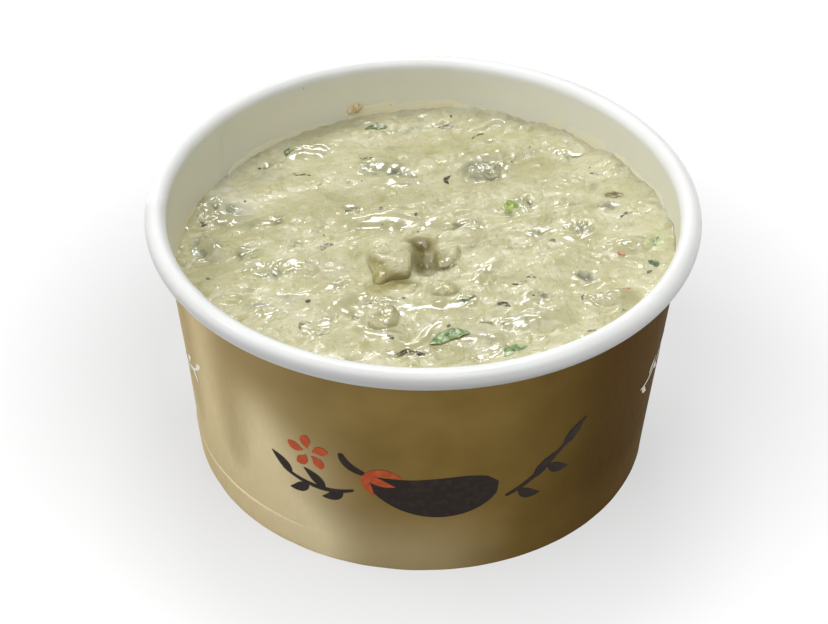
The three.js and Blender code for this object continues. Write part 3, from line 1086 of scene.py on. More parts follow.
@dataclass
class PaperTub:
    """The paper tub: wall with rolled rim, bottom disc and the gold print on its outside."""

    sizes: TubSizes = TUB
    sides: int = 240
    roll_sides: int = 36
    roll_end: float = -120.0
    wall_rows: int = 24
    bottom_bend: float = 0.9
    sharp: float = 35.0
    seam_turn: float = 145.5
    seam_width: float = 9.0
    seam_step: float = 0.22
    seam_fade: float = 40.0
    dent_turn: float = -146.0
    front_side: float = -118.0
    print_cover: float = 0.03
    print_top: float = 46.6
    # painted highlights on the gold: upright bands, then highlights at the foot and low on the left
    highlight_bands: tuple[tuple[float, float, float, float], ...] = (
        (-150, 8, 0.85, 60), (-130, 8, 0.7, 40), (-166, 8, 0.7, 60), (-140, 26, 0.35, 60),
        (60, 10, 0.35, 60), (10, 7, 0.2, 60), (150, 12, 0.3, 60),
    )
    highlight_fade: float = 14.0
    foot_highlights: tuple[tuple[float, ...], ...] = ((0.4, 16, 4, -100, -122), (0.32, 19, 3, -62, -92))
    low_highlight: tuple[float, ...] = (0.4, 34, 18, -119, 10)
    # turns where the painted shade on the right fades in and where it fades out
    painted_shade_start: tuple[float, float] = (-80, -40)
    painted_shade_end: tuple[float, float] = (50, 20)

    def roll_arc(self, radius: float) -> Line:
        """Section of the roll, from the wall over the top and round to its cut edge.

        Args:
            radius: of the roll's own tube, in mm.

        Returns:
            Radius and height of each corner.
        """
        turns = np.radians(np.linspace(180, self.roll_end, self.roll_sides + 1))
        out, up = self.sizes.roll_centre, self.sizes.roll_height
        return [(out + radius * math.cos(t), up + radius * math.sin(t)) for t in turns]

    def crimp_line(self, proud: float = 0.0) -> Line:
        """Outside of the pressed band at the foot.

        Args:
            proud: how far the line stands out of the paper, in mm.

        Returns:
            Radius and height of each corner, from the ground up.
        """
        size = self.sizes
        line = [
            (size.base_radius - size.foot_round * (1 - math.sin(t)), size.foot_round * (1 - math.cos(t)))
            for t in np.radians([0, 30, 60, 90])
        ]
        step, top = size.crimp_step, size.crimp_height
        line.append((size.outer(size.foot_round) + step, 2 * size.foot_round))
        line += [(size.outer(z) + step, z) for z in np.linspace(1.2, top - 0.25, 5)]
        line += [(size.outer(top) + step * 0.8, top), (size.outer(top + 0.25), top + 0.25)]
        return [(radius + proud, z) for radius, z in line]

    def wall_line(self, top: float, proud: float = 0.0) -> Line:
        """Outside of the cone above the pressed band."""
        heights = np.linspace(self.sizes.crimp_height + 1.2, top, self.wall_rows)
        return [(self.sizes.outer(z) + proud, z) for z in heights]

    def fade(self, past: Array) -> Array:
        """How much is left of a seam's step, at degrees past it."""
        return np.where(past < self.seam_fade, 1 - ease(4, self.seam_fade, past), 0.0)

    def uneven(self, piece: Piece) -> None:
        """Gives a turned wall its overlap seam and the small unevenness of pressed paper.

        Args:
            piece: the wall or its sleeve, which is changed.
        """
        x, y, z = places(piece).T / MM
        turn, radius = np.degrees(np.arctan2(y, x)), np.hypot(x, y)
        size = self.sizes
        inside = radius < size.outer(z) - size.paper * 0.6
        lap = self.fade((turn - self.seam_turn + 360) % 360) * ease(7, 9, z) * (1 - ease(46, 48.5, z))
        lap_out = self.fade((self.seam_turn + self.seam_width - turn + 360) % 360)
        lap_out = lap_out * ease(0.3, 1, z) * (1 - ease(45, 47, z))
        radius = radius + np.where(inside, -lap, lap_out) * self.seam_step
        radius = radius + size.wave(np.radians(turn), z)
        radius = radius + 0.07 * (1 - ease(5.5, 7, z)) * rolling(turn / 6, z / 6, 1.0, 3)
        pressed = (z > 0.9) & (z < size.crimp_height + 0.1) & ~inside
        flat_front = -0.8 * size.crimp_step * ease(self.front_side, self.front_side + 10, turn)
        radius = radius + pressed * np.where(turn > self.front_side, flat_front, 0.1)
        radius = radius - 0.12 * np.exp(-(((turn - self.dent_turn) / 1.6) ** 2)) * ease(45, 47, z)
        move_round(piece, radius, np.radians(turn), z)

    def seam_cuts(self, piece: Piece) -> None:
        """Cuts the wall on both sides of each seam, so that the seam's step is sharp.

        Args:
            piece: the wall or its sleeve, which is changed.
        """
        for turn in (self.seam_turn, self.seam_turn + self.seam_width):
            for shift in (-0.25, 0.02):
                angle = math.radians(turn + shift)
                edit(piece)
                bpy.ops.mesh.bisect(plane_co=(0, 0, 0), plane_no=(-math.sin(angle), math.cos(angle), 0))
                close_edit()

    def shell(self, name: str, profile: Line) -> Piece:
        """A turned wall with its seam, its unevenness and its shading.

        Args:
            name: the piece's name.
            profile: its closed section.

        Returns:
            The wall.
        """
        piece = spun(name, profile, self.sides)
        self.seam_cuts(piece)
        self.uneven(piece)
        smooth(piece, self.sharp)
        return piece

    def build_wall(self) -> Piece:
        """The wall: one sheet from the flap under the foot, up the cone and round the rolled rim.

        Returns:
            The wall, painted with its warm tint inside and with painted shade under the roll.
        """
        size = self.sizes
        flap_outer = size.inner(0) - size.paper - 2 * size.gap
        flap_inner = flap_outer - size.paper
        flap_top = size.crimp_height - size.paper - size.gap
        lean = size.slope * flap_top
        profile = [(flap_inner + size.foot_round, 0)] + self.crimp_line() + self.wall_line(size.neck_height)
        profile += self.roll_arc(size.roll_radius - size.paper) + self.roll_arc(size.roll_radius)[::-1]
        inner_rows = np.linspace(size.neck_height, size.disc_top + 0.6, self.wall_rows)
        profile += [(size.inner(z), z) for z in inner_rows] + [(size.inner(size.paper), size.paper)]
        profile += [(flap_outer, size.paper), (flap_outer + lean, flap_top), (flap_inner + lean, flap_top)]
        wall = self.shell("paper_wall", profile + [(flap_inner, size.foot_round)])
        x, y, z = places(wall).T / MM
        off = size.outer(z) - np.hypot(x, y)
        # the warm tint inside the tub: an oil stain and painted light bounced from the dip
        paint(wall, "inside", ease(0.2, 0.35, off) * ease(49.2, 47, z))
        # painted shade under the roll, stronger towards the right of the tub
        to_right = ease(-110, -60, np.degrees(np.arctan2(y, x)))
        below = ease(0, 1, (50.3 - 0.9 * to_right - z) / 2.6)
        paint(wall, "under", below * (0.75 + 0.25 * to_right) * ease(0.1, -0.1, off) * ease(44, 45, z))
        return wall

    def build_print(self) -> Piece:
        """The gold print: a very thin sleeve on the outside of the wall, from the foot to the roll.

        Returns:
            The sleeve, painted with its sheen.
        """
        outside, inside = (
            self.crimp_line(cover)[2:] + self.wall_line(self.print_top, cover)
            for cover in (self.print_cover, -self.print_cover)
        )
        sleeve = self.shell("gold_sleeve", outside + inside[::-1])
        self.paint_highlights(sleeve)
        return sleeve

    def paint_highlights(self, sleeve: Piece) -> None:
        """Paints highlights on the gold: soft upright bands, a glow at the foot and a low patch on the left.

        It also paints shade towards the right of the tub. Each band has its turn and width in degrees, its
        share and its top. Each highlight at the foot has its share, the heights and the turns that it fades
        between. The low highlight has share, heights, turn and width.

        Args:
            sleeve: the gold print, which is painted.
        """
        x, y, z = places(sleeve).T / MM
        turn = np.degrees(np.arctan2(y, x))
        # painted highlights in upright bands
        band_highlights = np.zeros_like(turn)
        for middle, width, share, top in self.highlight_bands:
            off = (turn - middle + 180) % 360 - 180
            band_highlights += share * np.exp(-((off / width) ** 2)) * ease(top, top - self.highlight_fade, z)
        # painted highlights at the foot and low on the left, where the gold reflects the floor
        foot = sum(s * ease(high, low, z) * ease(a, b, turn) for s, high, low, a, b in self.foot_highlights)
        share, high, low, middle, width = self.low_highlight
        foot += share * ease(high, low, z) * np.exp(-(((turn - middle) / width) ** 2))
        paint(sleeve, "sheen", np.clip(band_highlights * (0.75 + 0.25 * ease(40, 10, z)) + foot, 0, 1))
        # painted shade towards the right, lighter at the foot
        painted_shade = ease(*self.painted_shade_start, turn) * ease(*self.painted_shade_end, turn)
        paint(sleeve, "painted_shade", painted_shade * (0.88 - 0.25 * ease(14, 4, z)))

    def build_bottom(self) -> Piece:
        """The bottom disc with its skirt turned down between wall and flap.

        Returns:
            The disc.
        """
        size, bend = self.sizes, self.bottom_bend
        skirt = size.inner(0) - size.gap
        end = size.paper + size.gap
        under = skirt - size.paper + size.slope * size.crimp_height
        reach = skirt + size.slope * size.disc_top
        profile = [
            (0, size.crimp_height), (skirt * 0.5, size.crimp_height), (under - bend, size.crimp_height),
            (under, size.crimp_height - bend / 2), (skirt - size.paper + size.slope * end, end),
            (skirt + size.slope * end, end), (reach - 0.05, size.disc_top - bend / 2),
            (reach - bend / 2, size.disc_top), (skirt * 0.5, size.disc_top), (0, size.disc_top),
        ]
        disc = spun("paper_bottom", profile, self.sides // 2)
        smooth(disc, 40)
        return disc

    def dress(self) -> None:
        """Builds the tub's pieces and gives them their board and gold."""
        board = BoardFinish().make()
        hand_in(self.build_wall(), board, ("tub_wall",))
        hand_in(self.build_bottom(), board, ("tub_bottom",))
        hand_in(self.build_print(), GoldFinish().make())


class Outline(Enum):
    """How wide a printed stroke is along its length, from 0 to 1."""

    LEAF = "leaf"
    STEM = "stem"
    FRUIT = "fruit"
    PETAL = "petal"

    def width(self, t: Array) -> Array:
        """Share of the stroke's full width.

        Args:
            t: shares of its length.

        Returns:
            The share of the width at each of them.
        """
        if self is Outline.LEAF:
            return np.sin(math.pi * t) ** 0.8 * (1.1 - 0.4 * t)
        if self is Outline.STEM:
            return 0.45 + 0.55 * np.sin(math.pi * t) ** 0.5
        if self is Outline.FRUIT:
            return np.sqrt(np.clip(1 - (2 * t - 1) ** 2, 0, 1)) * (0.62 + 0.5 * t)
        return np.sin(math.pi * t**1.5) ** 0.7


@dataclass(frozen=True)
class Stroke:
    """A printed stroke along a curve of three points, in mm round the wall and up it."""

    start: tuple[float, float]
    middle: tuple[float, float]
    end: tuple[float, float]
    width: float
    outline: Outline = Outline.LEAF


@dataclass
class TubPrint:
    """A plain pattern printed round the tub: an aubergine among leafy sprigs, in dark and rust inks."""

    sizes: TubSizes = TUB
    front_turn: float = -90.0
    cover: float = 0.075
    thickness: float = 0.04
    middle_height: float = 22.0
    blossom: tuple[float, float] = (-19.5, 25.5)
    petals: int = 5
    sprig_leaves: int = 4
    pale_sprig: float = 52.0

    def sprig(
        self, start: float, side: int, stem: Point, step: Point, leaf: tuple, width: float
    ) -> list[Stroke]:
        """The leaves of a sprig, turned up and down in turn along its bent stem.

        Args:
            start: where the stem begins, in mm round the wall.
            side: 1 where it runs to the right, -1 to the left.
            stem: its height, and how that changes with the share of its length and with its square.
            step: share of its length at the first leaf, from one to the next, and the length in mm.
            leaf: the leaf's middle and tip, off its root, and how much the tip is lifted.
            width: the leaf's width.

        Returns:
            The leaves.
        """
        found = []
        for k in range(self.sprig_leaves):
            t = step[0] + step[1] * k
            x, z = start + side * step[2] * t, stem[0] + stem[1] * t + stem[2] * t * t
            up = 1 if k % 2 else -1
            (mx, mz), (tx, tz, lift) = leaf
            tip = (x + side * tx, z + tz * up + lift)
            found.append(Stroke((x, z), (x + side * mx, z + mz * up), tip, width))
        return found

    def dark_strokes(self) -> list[Stroke]:
        """The fruit, its stem and the sprigs on both sides of it."""
        return [
            Stroke((-9, 22.5), (1, 15.5), (13.5, 21), 10.5, Outline.FRUIT),
            Stroke((-13.5, 27.5), (-13, 24.5), (-9.5, 23.5), 1.5, Outline.STEM),
            Stroke((15, 17), (20, 18.5), (27.5, 27), 0.9, Outline.STEM),
            Stroke((-11.5, 19), (-18, 16), (-25, 19.5), 0.9, Outline.STEM),
            *self.sprig(15, 1, (17, 3, 7), (0.2, 0.22, 12.5), ((1.2, 2.2), (4.2, 3.6, 1.2)), 2.3),
            *self.sprig(-11.5, -1, (19, -6, 6.5), (0.15, 0.24, 13.5), ((1.2, 2.0), (3.9, 3.2, 0.6)), 2.2),
        ]

    def rust_strokes(self) -> list[Stroke]:
        """The fruit's cap of pointed sepals and a small blossom.

        Returns:
            The strokes.
        """
        strokes = [
            Stroke((-9.5, 23.5), (-6, 25), (-3, 23.2), 1.9),
            Stroke((-9.5, 23.5), (-7.5, 21.8), (-4.2, 21.2), 1.9),
            Stroke((-9.5, 23.5), (-9.6, 21), (-7.8, 18.6), 1.7),
        ]
        x, z = self.blossom
        for k in range(self.petals):
            turn = math.radians(90 + 360 / self.petals * k)
            root, side, tip = (
                (x + reach * math.cos(turn + twist), z + reach * math.sin(turn + twist))
                for reach, twist in ((0.9, 0), (2.2, 0.35), (4, 0))
            )
            strokes.append(Stroke(root, side, tip, 2.0, Outline.PETAL))
        return strokes

    def pale_strokes(self) -> list[Stroke]:
        """Small pale sprigs, one at each side of the tub.

        Returns:
            The strokes.
        """
        strokes = []
        for x in (-self.pale_sprig, self.pale_sprig):
            strokes.append(Stroke((x - 5, 24), (x, 23), (x + 5, 28), 0.6, Outline.STEM))
            strokes += self.sprig(x - 4, 1, (24, 0.9, 0), (0, 1, 2.6), ((0.6, 1.4), (2.4, 2.6, 0)), 1.3)
        return strokes

    def wrapped(self, stroke: Stroke) -> Piece:
        """One stroke as a thin sheet that follows the cone.

        Args:
            stroke: its curve, width and outline.

        Returns:
            The sheet.
        """
        piece = grid_piece("stroke", 25, 7)
        flat = places(piece)
        t = (flat[:, 0] + 1) / 2
        start, middle, end = (np.array(p) for p in (stroke.start, stroke.middle, stroke.end))
        t2 = t[:, None]
        spine = start * (1 - t2) ** 2 + 2 * middle * t2 * (1 - t2) + end * t2**2
        along = 2 * (middle - start) * (1 - t2) + 2 * (end - middle) * t2
        along /= np.linalg.norm(along, axis=1)[:, None]
        half = stroke.width / 2 * np.maximum(stroke.outline.width(t), 0.02)
        spine = spine + np.stack([-along[:, 1], along[:, 0]], axis=1) * (half * flat[:, 1])[:, None]
        round_wall, up = spine.T
        turn = math.radians(self.front_turn) + round_wall / self.sizes.outer(self.middle_height)
        move_round(piece, self.sizes.outer(up) + self.cover + self.sizes.wave(turn, up), turn, up)
        return piece

    def build(self, name: str, strokes: list[Stroke]) -> Piece:
        """One colour of ink: all its strokes in one thin piece.

        Args:
            name: the piece's name.
            strokes: what is printed in this ink.

        Returns:
            The piece.
        """
        piece = join([self.wrapped(stroke) for stroke in strokes], name)
        edit(piece)
        bpy.ops.mesh.normals_make_consistent(inside=False)
        close_edit()
        thicken(piece, self.thickness)
        return piece

    def dress(self) -> None:
        """Prints the three inks."""
        dark = InkFinish("dark_ink", shade(34, 24, 17), shade(48, 36, 27), 0.55)
        rust = InkFinish("rust_ink", shade(168, 66, 28), shade(178, 84, 42), 0.55)
        pale = InkFinish("pale_ink", shade(214, 210, 192), shade(196, 190, 168))
        hand_in(self.build("dark_print", self.dark_strokes()), dark.make())
        hand_in(self.build("rust_print", self.rust_strokes()), rust.make())
        hand_in(self.build("pale_print", self.pale_strokes()), pale.make())


# ---- The dip -----------------------------------------------------------------------------------

WET_PATCHES = features(
    (-20.5, 33, 5.5, 3, 10, 1), (-28, 27.5, 4, 2.4, 40, 0.9), (-9, 26.5, 6, 4.5, 0, 1),
    (-3.6, 22.6, 4, 3.6, 0, 1), (-8.5, 40, 4, 2, 0, 0.9), (3, 39, 5, 2, 0, 0.6), (12.4, 33, 4, 3, 0, 1),
    (11.5, 24, 7, 5, 10, 1), (26.5, 29, 6, 2.6, -45, 0.8), (-12.6, 13.5, 3.2, 2.6, 0, 0.9),
    (-7, 8.6, 7.6, 2.4, -8, 1), (7, 7.6, 6, 3.2, 15, 1), (16.5, 13, 5, 3.6, 20, 1),
    (25.6, 14, 2.6, 4, 10, 1), (20.8, 5.6, 5.5, 2.4, 15, 0.8), (27.8, 6.2, 3.6, 3, 8, 1),
    (33, 12.6, 3, 2.2, 0, 0.9), (37, 1, 4.4, 3, 10, 1), (28, -7.9, 3, 2.6, 0, 1),
    (31.5, -14, 5.5, 3, 10, 1), (19.5, -13, 4, 2.6, 0, 1), (18.5, -19.8, 8, 3, 5, 1),
    (11, -6.4, 2.4, 4.6, 10, 0.9), (7, -13.4, 3.4, 2.4, 0, 0.9), (-0.4, -21, 5.4, 4.6, 0, 0.5),
    (-8.4, -14.6, 6, 3.6, 30, 1), (-36.5, 14.5, 6.5, 5, -50, 0.9), (-39, 4, 3.4, 6, 10, 1),
    (-30.5, 1.4, 5, 3.4, 10, 0.8), (-26, -3, 8, 3.2, 10, 0.95), (-28.2, 10.6, 4.5, 2.8, 15, 0.9),
    (-21.5, 5, 4, 2.2, 10, 0.6), (-18.5, -19.4, 5.5, 3, 20, 0.8), (-27, -14, 6, 2.6, -30, 0.7),
    (-2, -27.6, 6.5, 2, 0, 0.9), (13, -27, 6, 2.2, 20, 0.8), (-14.5, -8, 4.5, 2.6, 20, 0.6),
)
LEANS = features(
    (-20.5, 33.2, 3.4, 1.5, 10, 0.2), (-17, 32, 1.6, 1.2, 0, 0.15), (-12, 28, 1.8, 0.9, 85, 0.2),
    (-7.4, 26.6, 1.8, 1.6, 0, 0.2), (-8, 23.8, 1.6, 1.2, 0, 0.2), (-4.4, 22.8, 2.3, 1.6, -20, 0.2),
    (9.2, 31.8, 2.3, 0.9, 80, 0.2), (12.4, 30.2, 2.3, 1.2, 10, 0.2), (6.6, 23.6, 2.3, 1.2, 60, 0.2),
    (9.2, 22, 1.9, 1, 10, 0.2), (16.4, 27, 2.4, 1.2, -20, 0.18), (-10.2, 8.8, 3.8, 1.4, -5, 0.2),
    (-3.4, 8, 4, 1.4, -6, 0.2), (13.2, 7.4, 1.6, 1.4, 0, 0.15), (27.2, 5.2, 1.6, 1, 0, 0.18),
    (36.8, 1.5, 2.2, 1.5, 0, 0.16), (11.2, -5.8, 3.4, 1.1, 70, 0.2), (28, -9, 1.3, 0.8, 0, 0.16),
    (32.3, -14, 2.4, 1.2, 8, 0.14), (20.5, -13.6, 2.4, 1.2, 0, 0.14), (20, -19.6, 4.4, 1.4, 0, 0.14),
    (-9, -15.5, 2.6, 2.4, 0, 0.12), (9, -26.3, 2.4, 0.9, 0, 0.12), (-41, 7.4, 2.6, 1.8, 0, 0.28),
    (-36.8, 2.3, 3.4, 1.6, 110, 0.3), (-28.8, 10.2, 1.8, 1, 0, 0.2), (-26.2, 11, 1.6, 0.9, 20, 0.2),
    (-30.5, -0.4, 1.8, 1, 10, 0.2), (-27.2, -2.8, 2.2, 1.1, 0, 0.22), (-23.4, -1.6, 1.8, 1, 0, 0.2),
    (-28.9, -5.4, 2, 1.1, 10, 0.2), (-21.5, -4.8, 1.8, 1, 0, 0.2), (-16.3, -2.2, 1.5, 1.2, 60, 0.2),
    (-34.5, 17, 2, 1.2, 30, 0.2), (-22.2, -9.4, 2, 1, 0, 0.15), (-12.6, 14, 1.2, 1.4, 0, 0.15),
)
GREY_PATCHES = features(
    (-6.9, 25.3, 5.2, 3.2, 0, 0.85), (10.3, 25, 5, 3.4, 10, 0.9), (28, 6.3, 2.6, 1.9, 8, 0.9),
    (28.4, -7.6, 2.2, 1.5, 0, 0.9), (-34, 13, 5.5, 4, -50, 0.7), (-38.5, 3.5, 3.6, 5, 10, 0.75),
    (33, 12.5, 2.6, 1.7, 0, 0.7), (1.4, -2.6, 4.8, 3.8, 84, 0.7), (-12.8, -29.4, 3.4, 1.8, -8, 0.6),
    (10, -25.5, 5, 2.4, 20, 0.5), (-4, 37.5, 4, 1.6, 5, 0.6), (-30, 24, 5, 2.4, 40, 0.5),
)
# olive patches; the two under the chunk paint its shadow
OLIVE_PATCHES = features(
    (0.4, 3.4, 3.6, 3, 30, 1.1), (0.8, -2, 5, 3.4, 84, 0.5), (-7.8, -8.9, 3.8, 2.3, -25, 1.2),
    (-4.4, -8.4, 4.6, 2.2, -5, 1.2), (-31.5, -11, 3.2, 2.4, -20, 0.6), (34.2, 15.6, 3, 1.6, 0, 0.8),
    (-9, -10.5, 3.4, 1.8, 20, 0.4), (18, 8.8, 5, 2, 20, 0.35), (24, 33, 9, 2, -38, 0.3),
)
# brown patches, most of them painted shade: round the chunk and the slab, under the chunk and near the nose
BROWN_AND_SHADE_PATCHES = features(
    (-0.4, 2.6, 3.6, 3.4, 10, 1.15), (-0.9, -1.6, 2.2, 5.2, 0, 0.6), (1.4, -2.8, 4.8, 3.6, 84, 0.6),
    (4.4, -3.9, 2.6, 0.9, 22, 1.2), (8.5, 1.6, 2, 1.2, 30, 0.5), (-5.3, -21.6, 3, 0.8, -4, 0.4),
    (-4.6, -8, 4.6, 1.6, -4, 0.6),
)
GREEN_PATCHES = features(
    (41, 1.5, 3.4, 3, 70, 0.7), (-28.5, 1, 3.2, 1.8, 0, 0.4), (16, 11, 4, 2.2, 0, 0.35),
    (3, 27.5, 1.6, 2.4, 0, 0.35),
)
MILK_PATCHES = features(
    (-34.5, 17.5, 7.5, 5, -50, 0.95), (-27, 25, 6, 3, 40, 0.5), (-12, 34, 8, 4, 5, 0.35),
    (-22, -14, 7, 4, -25, 0.4), (-17, -3, 6, 4, 0, 0.35), (14, -21, 9, 4, 8, 0.45),
    (2, -19, 4, 3, 0, 0.4), (36, 8, 5, 4, 60, 0.4),
)


def spread(patches: tuple[Feature, ...], x: Array, y: Array) -> Array:
    """How strong patches with soft edges are at places seen from above."""
    return sum(p.rise * np.sqrt(p.share(x, y)) for p in patches)


@dataclass
class Relief:
    """The height of the dip's skin, in mm over the floor, at places seen from above."""

    level: float = 38.6
    rise_right: float = 2.2
    rise_back: float = 0.8
    edge_climb: float = 0.7
    edge_width: float = 1.8
    sweep_turn: float = 14.0
    sweep_pitch: float = 12.5
    sweep_rise: float = 0.28
    lump_count: int = 260
    lump_radius: float = 2.9
    lump_rise: float = 0.5
    push: float = 0.9
    push_pitch: float = 5.5

    def __post_init__(self) -> None:
        """Works out the reach of the skin and the lumps under it."""
        self.reach = float(TUB.inner(self.level))
        self.lumps = tuple(self.lump(i) for i in range(self.lump_count))

    def lump(self, i: int) -> Feature:
        """A small lump of pulp: the lumps lie on a sunflower spiral, each pushed off it a little.

        Args:
            i: the lump's number.

        Returns:
            The lump.
        """
        radius = self.reach * math.sqrt((i + 0.5) / self.lump_count) + 0.9 * math.sin(5.3 * i)
        angle = i * GOLDEN_ANGLE + 0.05 * math.sin(3.7 * i)
        return Feature(
            radius * math.cos(angle),
            radius * math.sin(angle),
            self.lump_radius * (1 + 0.35 * math.sin(2.1 * i)),
            self.lump_radius * (0.72 + 0.22 * math.sin(4.9 * i)),
            14 + 30 * math.sin(1.3 * i),
            self.lump_rise * (0.35 + 0.65 * math.sin(7.7 * i)),
        )

    def plane(self, x: Array, y: Array) -> Array:
        """The tilted level that the skin lies about."""
        return self.level + (self.rise_right * x + self.rise_back * y) / self.reach

    def from_wall(self, x: Array, y: Array) -> Array:
        """Distance to the wall."""
        return np.maximum(0, self.reach - np.hypot(x, y))

    def broad(self, x: Array, y: Array) -> Array:
        """The skin with its sweeps, lumps, mounds and hollows, as in the solid.

        Args:
            x: places seen from above.
            y: the same.

        Returns:
            The heights.
        """
        across = turned(x, y, self.sweep_turn)[1]
        sweeps = self.sweep_rise * np.sin(2 * math.pi * across / self.sweep_pitch + np.sin(x / 8))
        relief = sum(f.rise * f.share(x, y) for f in (*self.lumps, *MOUNDS, *HOLLOWS))
        climb = self.edge_climb * (0.6 + 0.4 * np.sin(5 * np.arctan2(y, x) + 1))
        return self.plane(x, y) + sweeps + relief + climb * np.exp(-self.from_wall(x, y) / self.edge_width)

    def swept(self, x: Array, y: Array) -> tuple[Array, Array]:
        """Places along and across the spoon's sweeps, pushed about a little."""
        pushes = (self.push * rolling(x, y, self.push_pitch, seed) for seed in (21, 22))
        return tuple(place + push for place, push in zip(turned(x, y, self.sweep_turn), pushes))

    def busy(self, x: Array, y: Array) -> Array:
        """Where wet pulp crowds through the skin, 1, and where the skin is smooth, 0.

        Args:
            x: places seen from above.
            y: the same.

        Returns:
            The shares.
        """
        along, across = self.swept(x, y)
        cloud = crags(along / 1.7, across, 3.8, 31)
        placed = np.clip(spread(WET_PATCHES, x, y), 0, 1.2)
        return 0.2 * ease(0.1, 0.5, cloud) + 0.8 * ease(0.3, 0.8, placed + 0.35 * cloud)

    def pulp(self, x: Array, y: Array) -> Array:
        """Granules, folds and creases of the pulp, higher where it is wet.

        Args:
            x: places seen from above.
            y: the same.

        Returns:
            The lift in mm.
        """
        along, across = self.swept(x, y)
        busy = self.busy(x, y)
        crowd = ease(-0.1, 0.5, rolling(along / 1.2, across, 3.6, 67))
        blobs, _ = pebbles(along / 1.1, across, 2.3, 41)
        small, _ = pebbles(along, across, 1.4, 51)
        tiny, _ = pebbles(along, across, 0.85, 55)
        curls = (1 - np.abs(rolling(along / 1.15, across, 2.6, 65))) ** 3
        folds = (1 - np.abs(rolling(along / 1.3, across, 3.8, 66))) ** 3
        grains = blobs * (0.1 + 0.2 * busy) + small * (0.05 + 0.09 * crowd)
        grains += tiny * (0.01 + 0.06 * crowd + 0.01 * busy)
        return grains + (curls * 0.36 + folds * 0.44) * busy - 0.36 * busy - 0.05

    @staticmethod
    def lines(x: Array, y: Array) -> Array:
        """Raised lines of oil and pulp."""
        return sum(ridge.height(x, y) for ridge in RIDGES)

    @staticmethod
    def leans(x: Array, y: Array) -> Array:
        """Small places where the wet skin leans to the front."""
        return sum(f.rise * (y - f.y) * f.share(x, y) for f in LEANS)

    def fine(self, x: Array, y: Array) -> Array:
        """Everything on the skin that the broad skin leaves out.

        Args:
            x: places seen from above.
            y: the same.

        Returns:
            The lift in mm.
        """
        along, across = self.swept(x, y)
        strands = crags(along / 1.6, across, 2.4, 61, 2)
        from_wall = self.from_wall(x, y)
        ragged = 0.7 * crags(12 * np.arctan2(y, x), from_wall / 3, 1, 68) * np.exp(-from_wall / 1.3)
        lines = self.lines(x, y)
        calm = 1 - 0.92 * ease(0.02, 0.18, lines)
        return self.pulp(x, y) * calm + ragged + strands * 0.05 + lines + self.leans(x, y)

    def height(self, x: Array, y: Array) -> Array:
        """The whole skin."""
        return self.broad(x, y) + self.fine(x, y)

    def colours(self, x: Array, y: Array) -> dict[str, Array]:
        """Where the dip is milky, pulpy, olive, green, grey, wet or even, and where brown, shade and light
        are painted.

        Args:
            x: places seen from above.
            y: the same.

        Returns:
            The shares of each, by the names that the finish reads.
        """
        along, across = self.swept(x, y)
        busy, lines = self.busy(x, y), self.lines(x, y)
        blot = 0.75 + 0.5 * rolling(x, y, 1.8, 71)
        _, which = pebbles(along / 1.1, across, 2.3, 41)
        _, grain = pebbles(along, across, 1.4, 51)
        grey = spread(GREY_PATCHES, x, y) * blot * (0.45 + 0.9 * grain) + 0.3 * busy * ease(0.3, 0.9, grain)
        grey = grey + 0.5 * ease(0.3, 0.6, crags(along / 1.3, across, 4.5, 81)) * (0.3 + grain)
        # olive from its patches, which include the chunk's painted shadow
        olive = spread(OLIVE_PATCHES, x, y) * blot
        olive = olive + 0.45 * ease(0.3, 0.62, crags(along / 1.3, across, 4, 91))
        # painted light: the dip is painted paler along the back wall, against the wall's shade
        painted_light_at_back = np.exp(-self.from_wall(x, y) / 2.5) * ease(0.1, 0.6, y / self.reach)
        return {
            "grey": grey,
            "olive": olive,
            "green": spread(GREEN_PATCHES, x, y) * blot,
            "milk": spread(MILK_PATCHES, x, y) * blot * (0.25 + 1.2 * grain) + 0.4 * painted_light_at_back,
            # brown tone from its patches, most of it painted shade
            "brown_and_shade": sum(p.rise * p.share(x, y) for p in BROWN_AND_SHADE_PATCHES) * (0.7 + 0.5 * blot),
            "pulp": ease(0.5, 0.95, which) * (0.35 + 0.5 * busy) + 0.5 * ease(0.6, 1, grain),
            # painted shade in the pulp's hollows, stronger where it is busy
            "hollow_shade": ease(0.02, -0.26, self.pulp(x, y)) * (0.3 + 0.7 * busy),
            "rough": np.maximum(busy, ease(0.04, 0.16, lines)),
            "even": ease(0.02, 0.14, lines),
        }


def paint_all(piece: Piece, colours: dict[str, Array]) -> None:
    """Paints every share of the dip's colours on a piece."""
    for name, values in colours.items():
        paint(piece, name, np.clip(values, 0, 1))


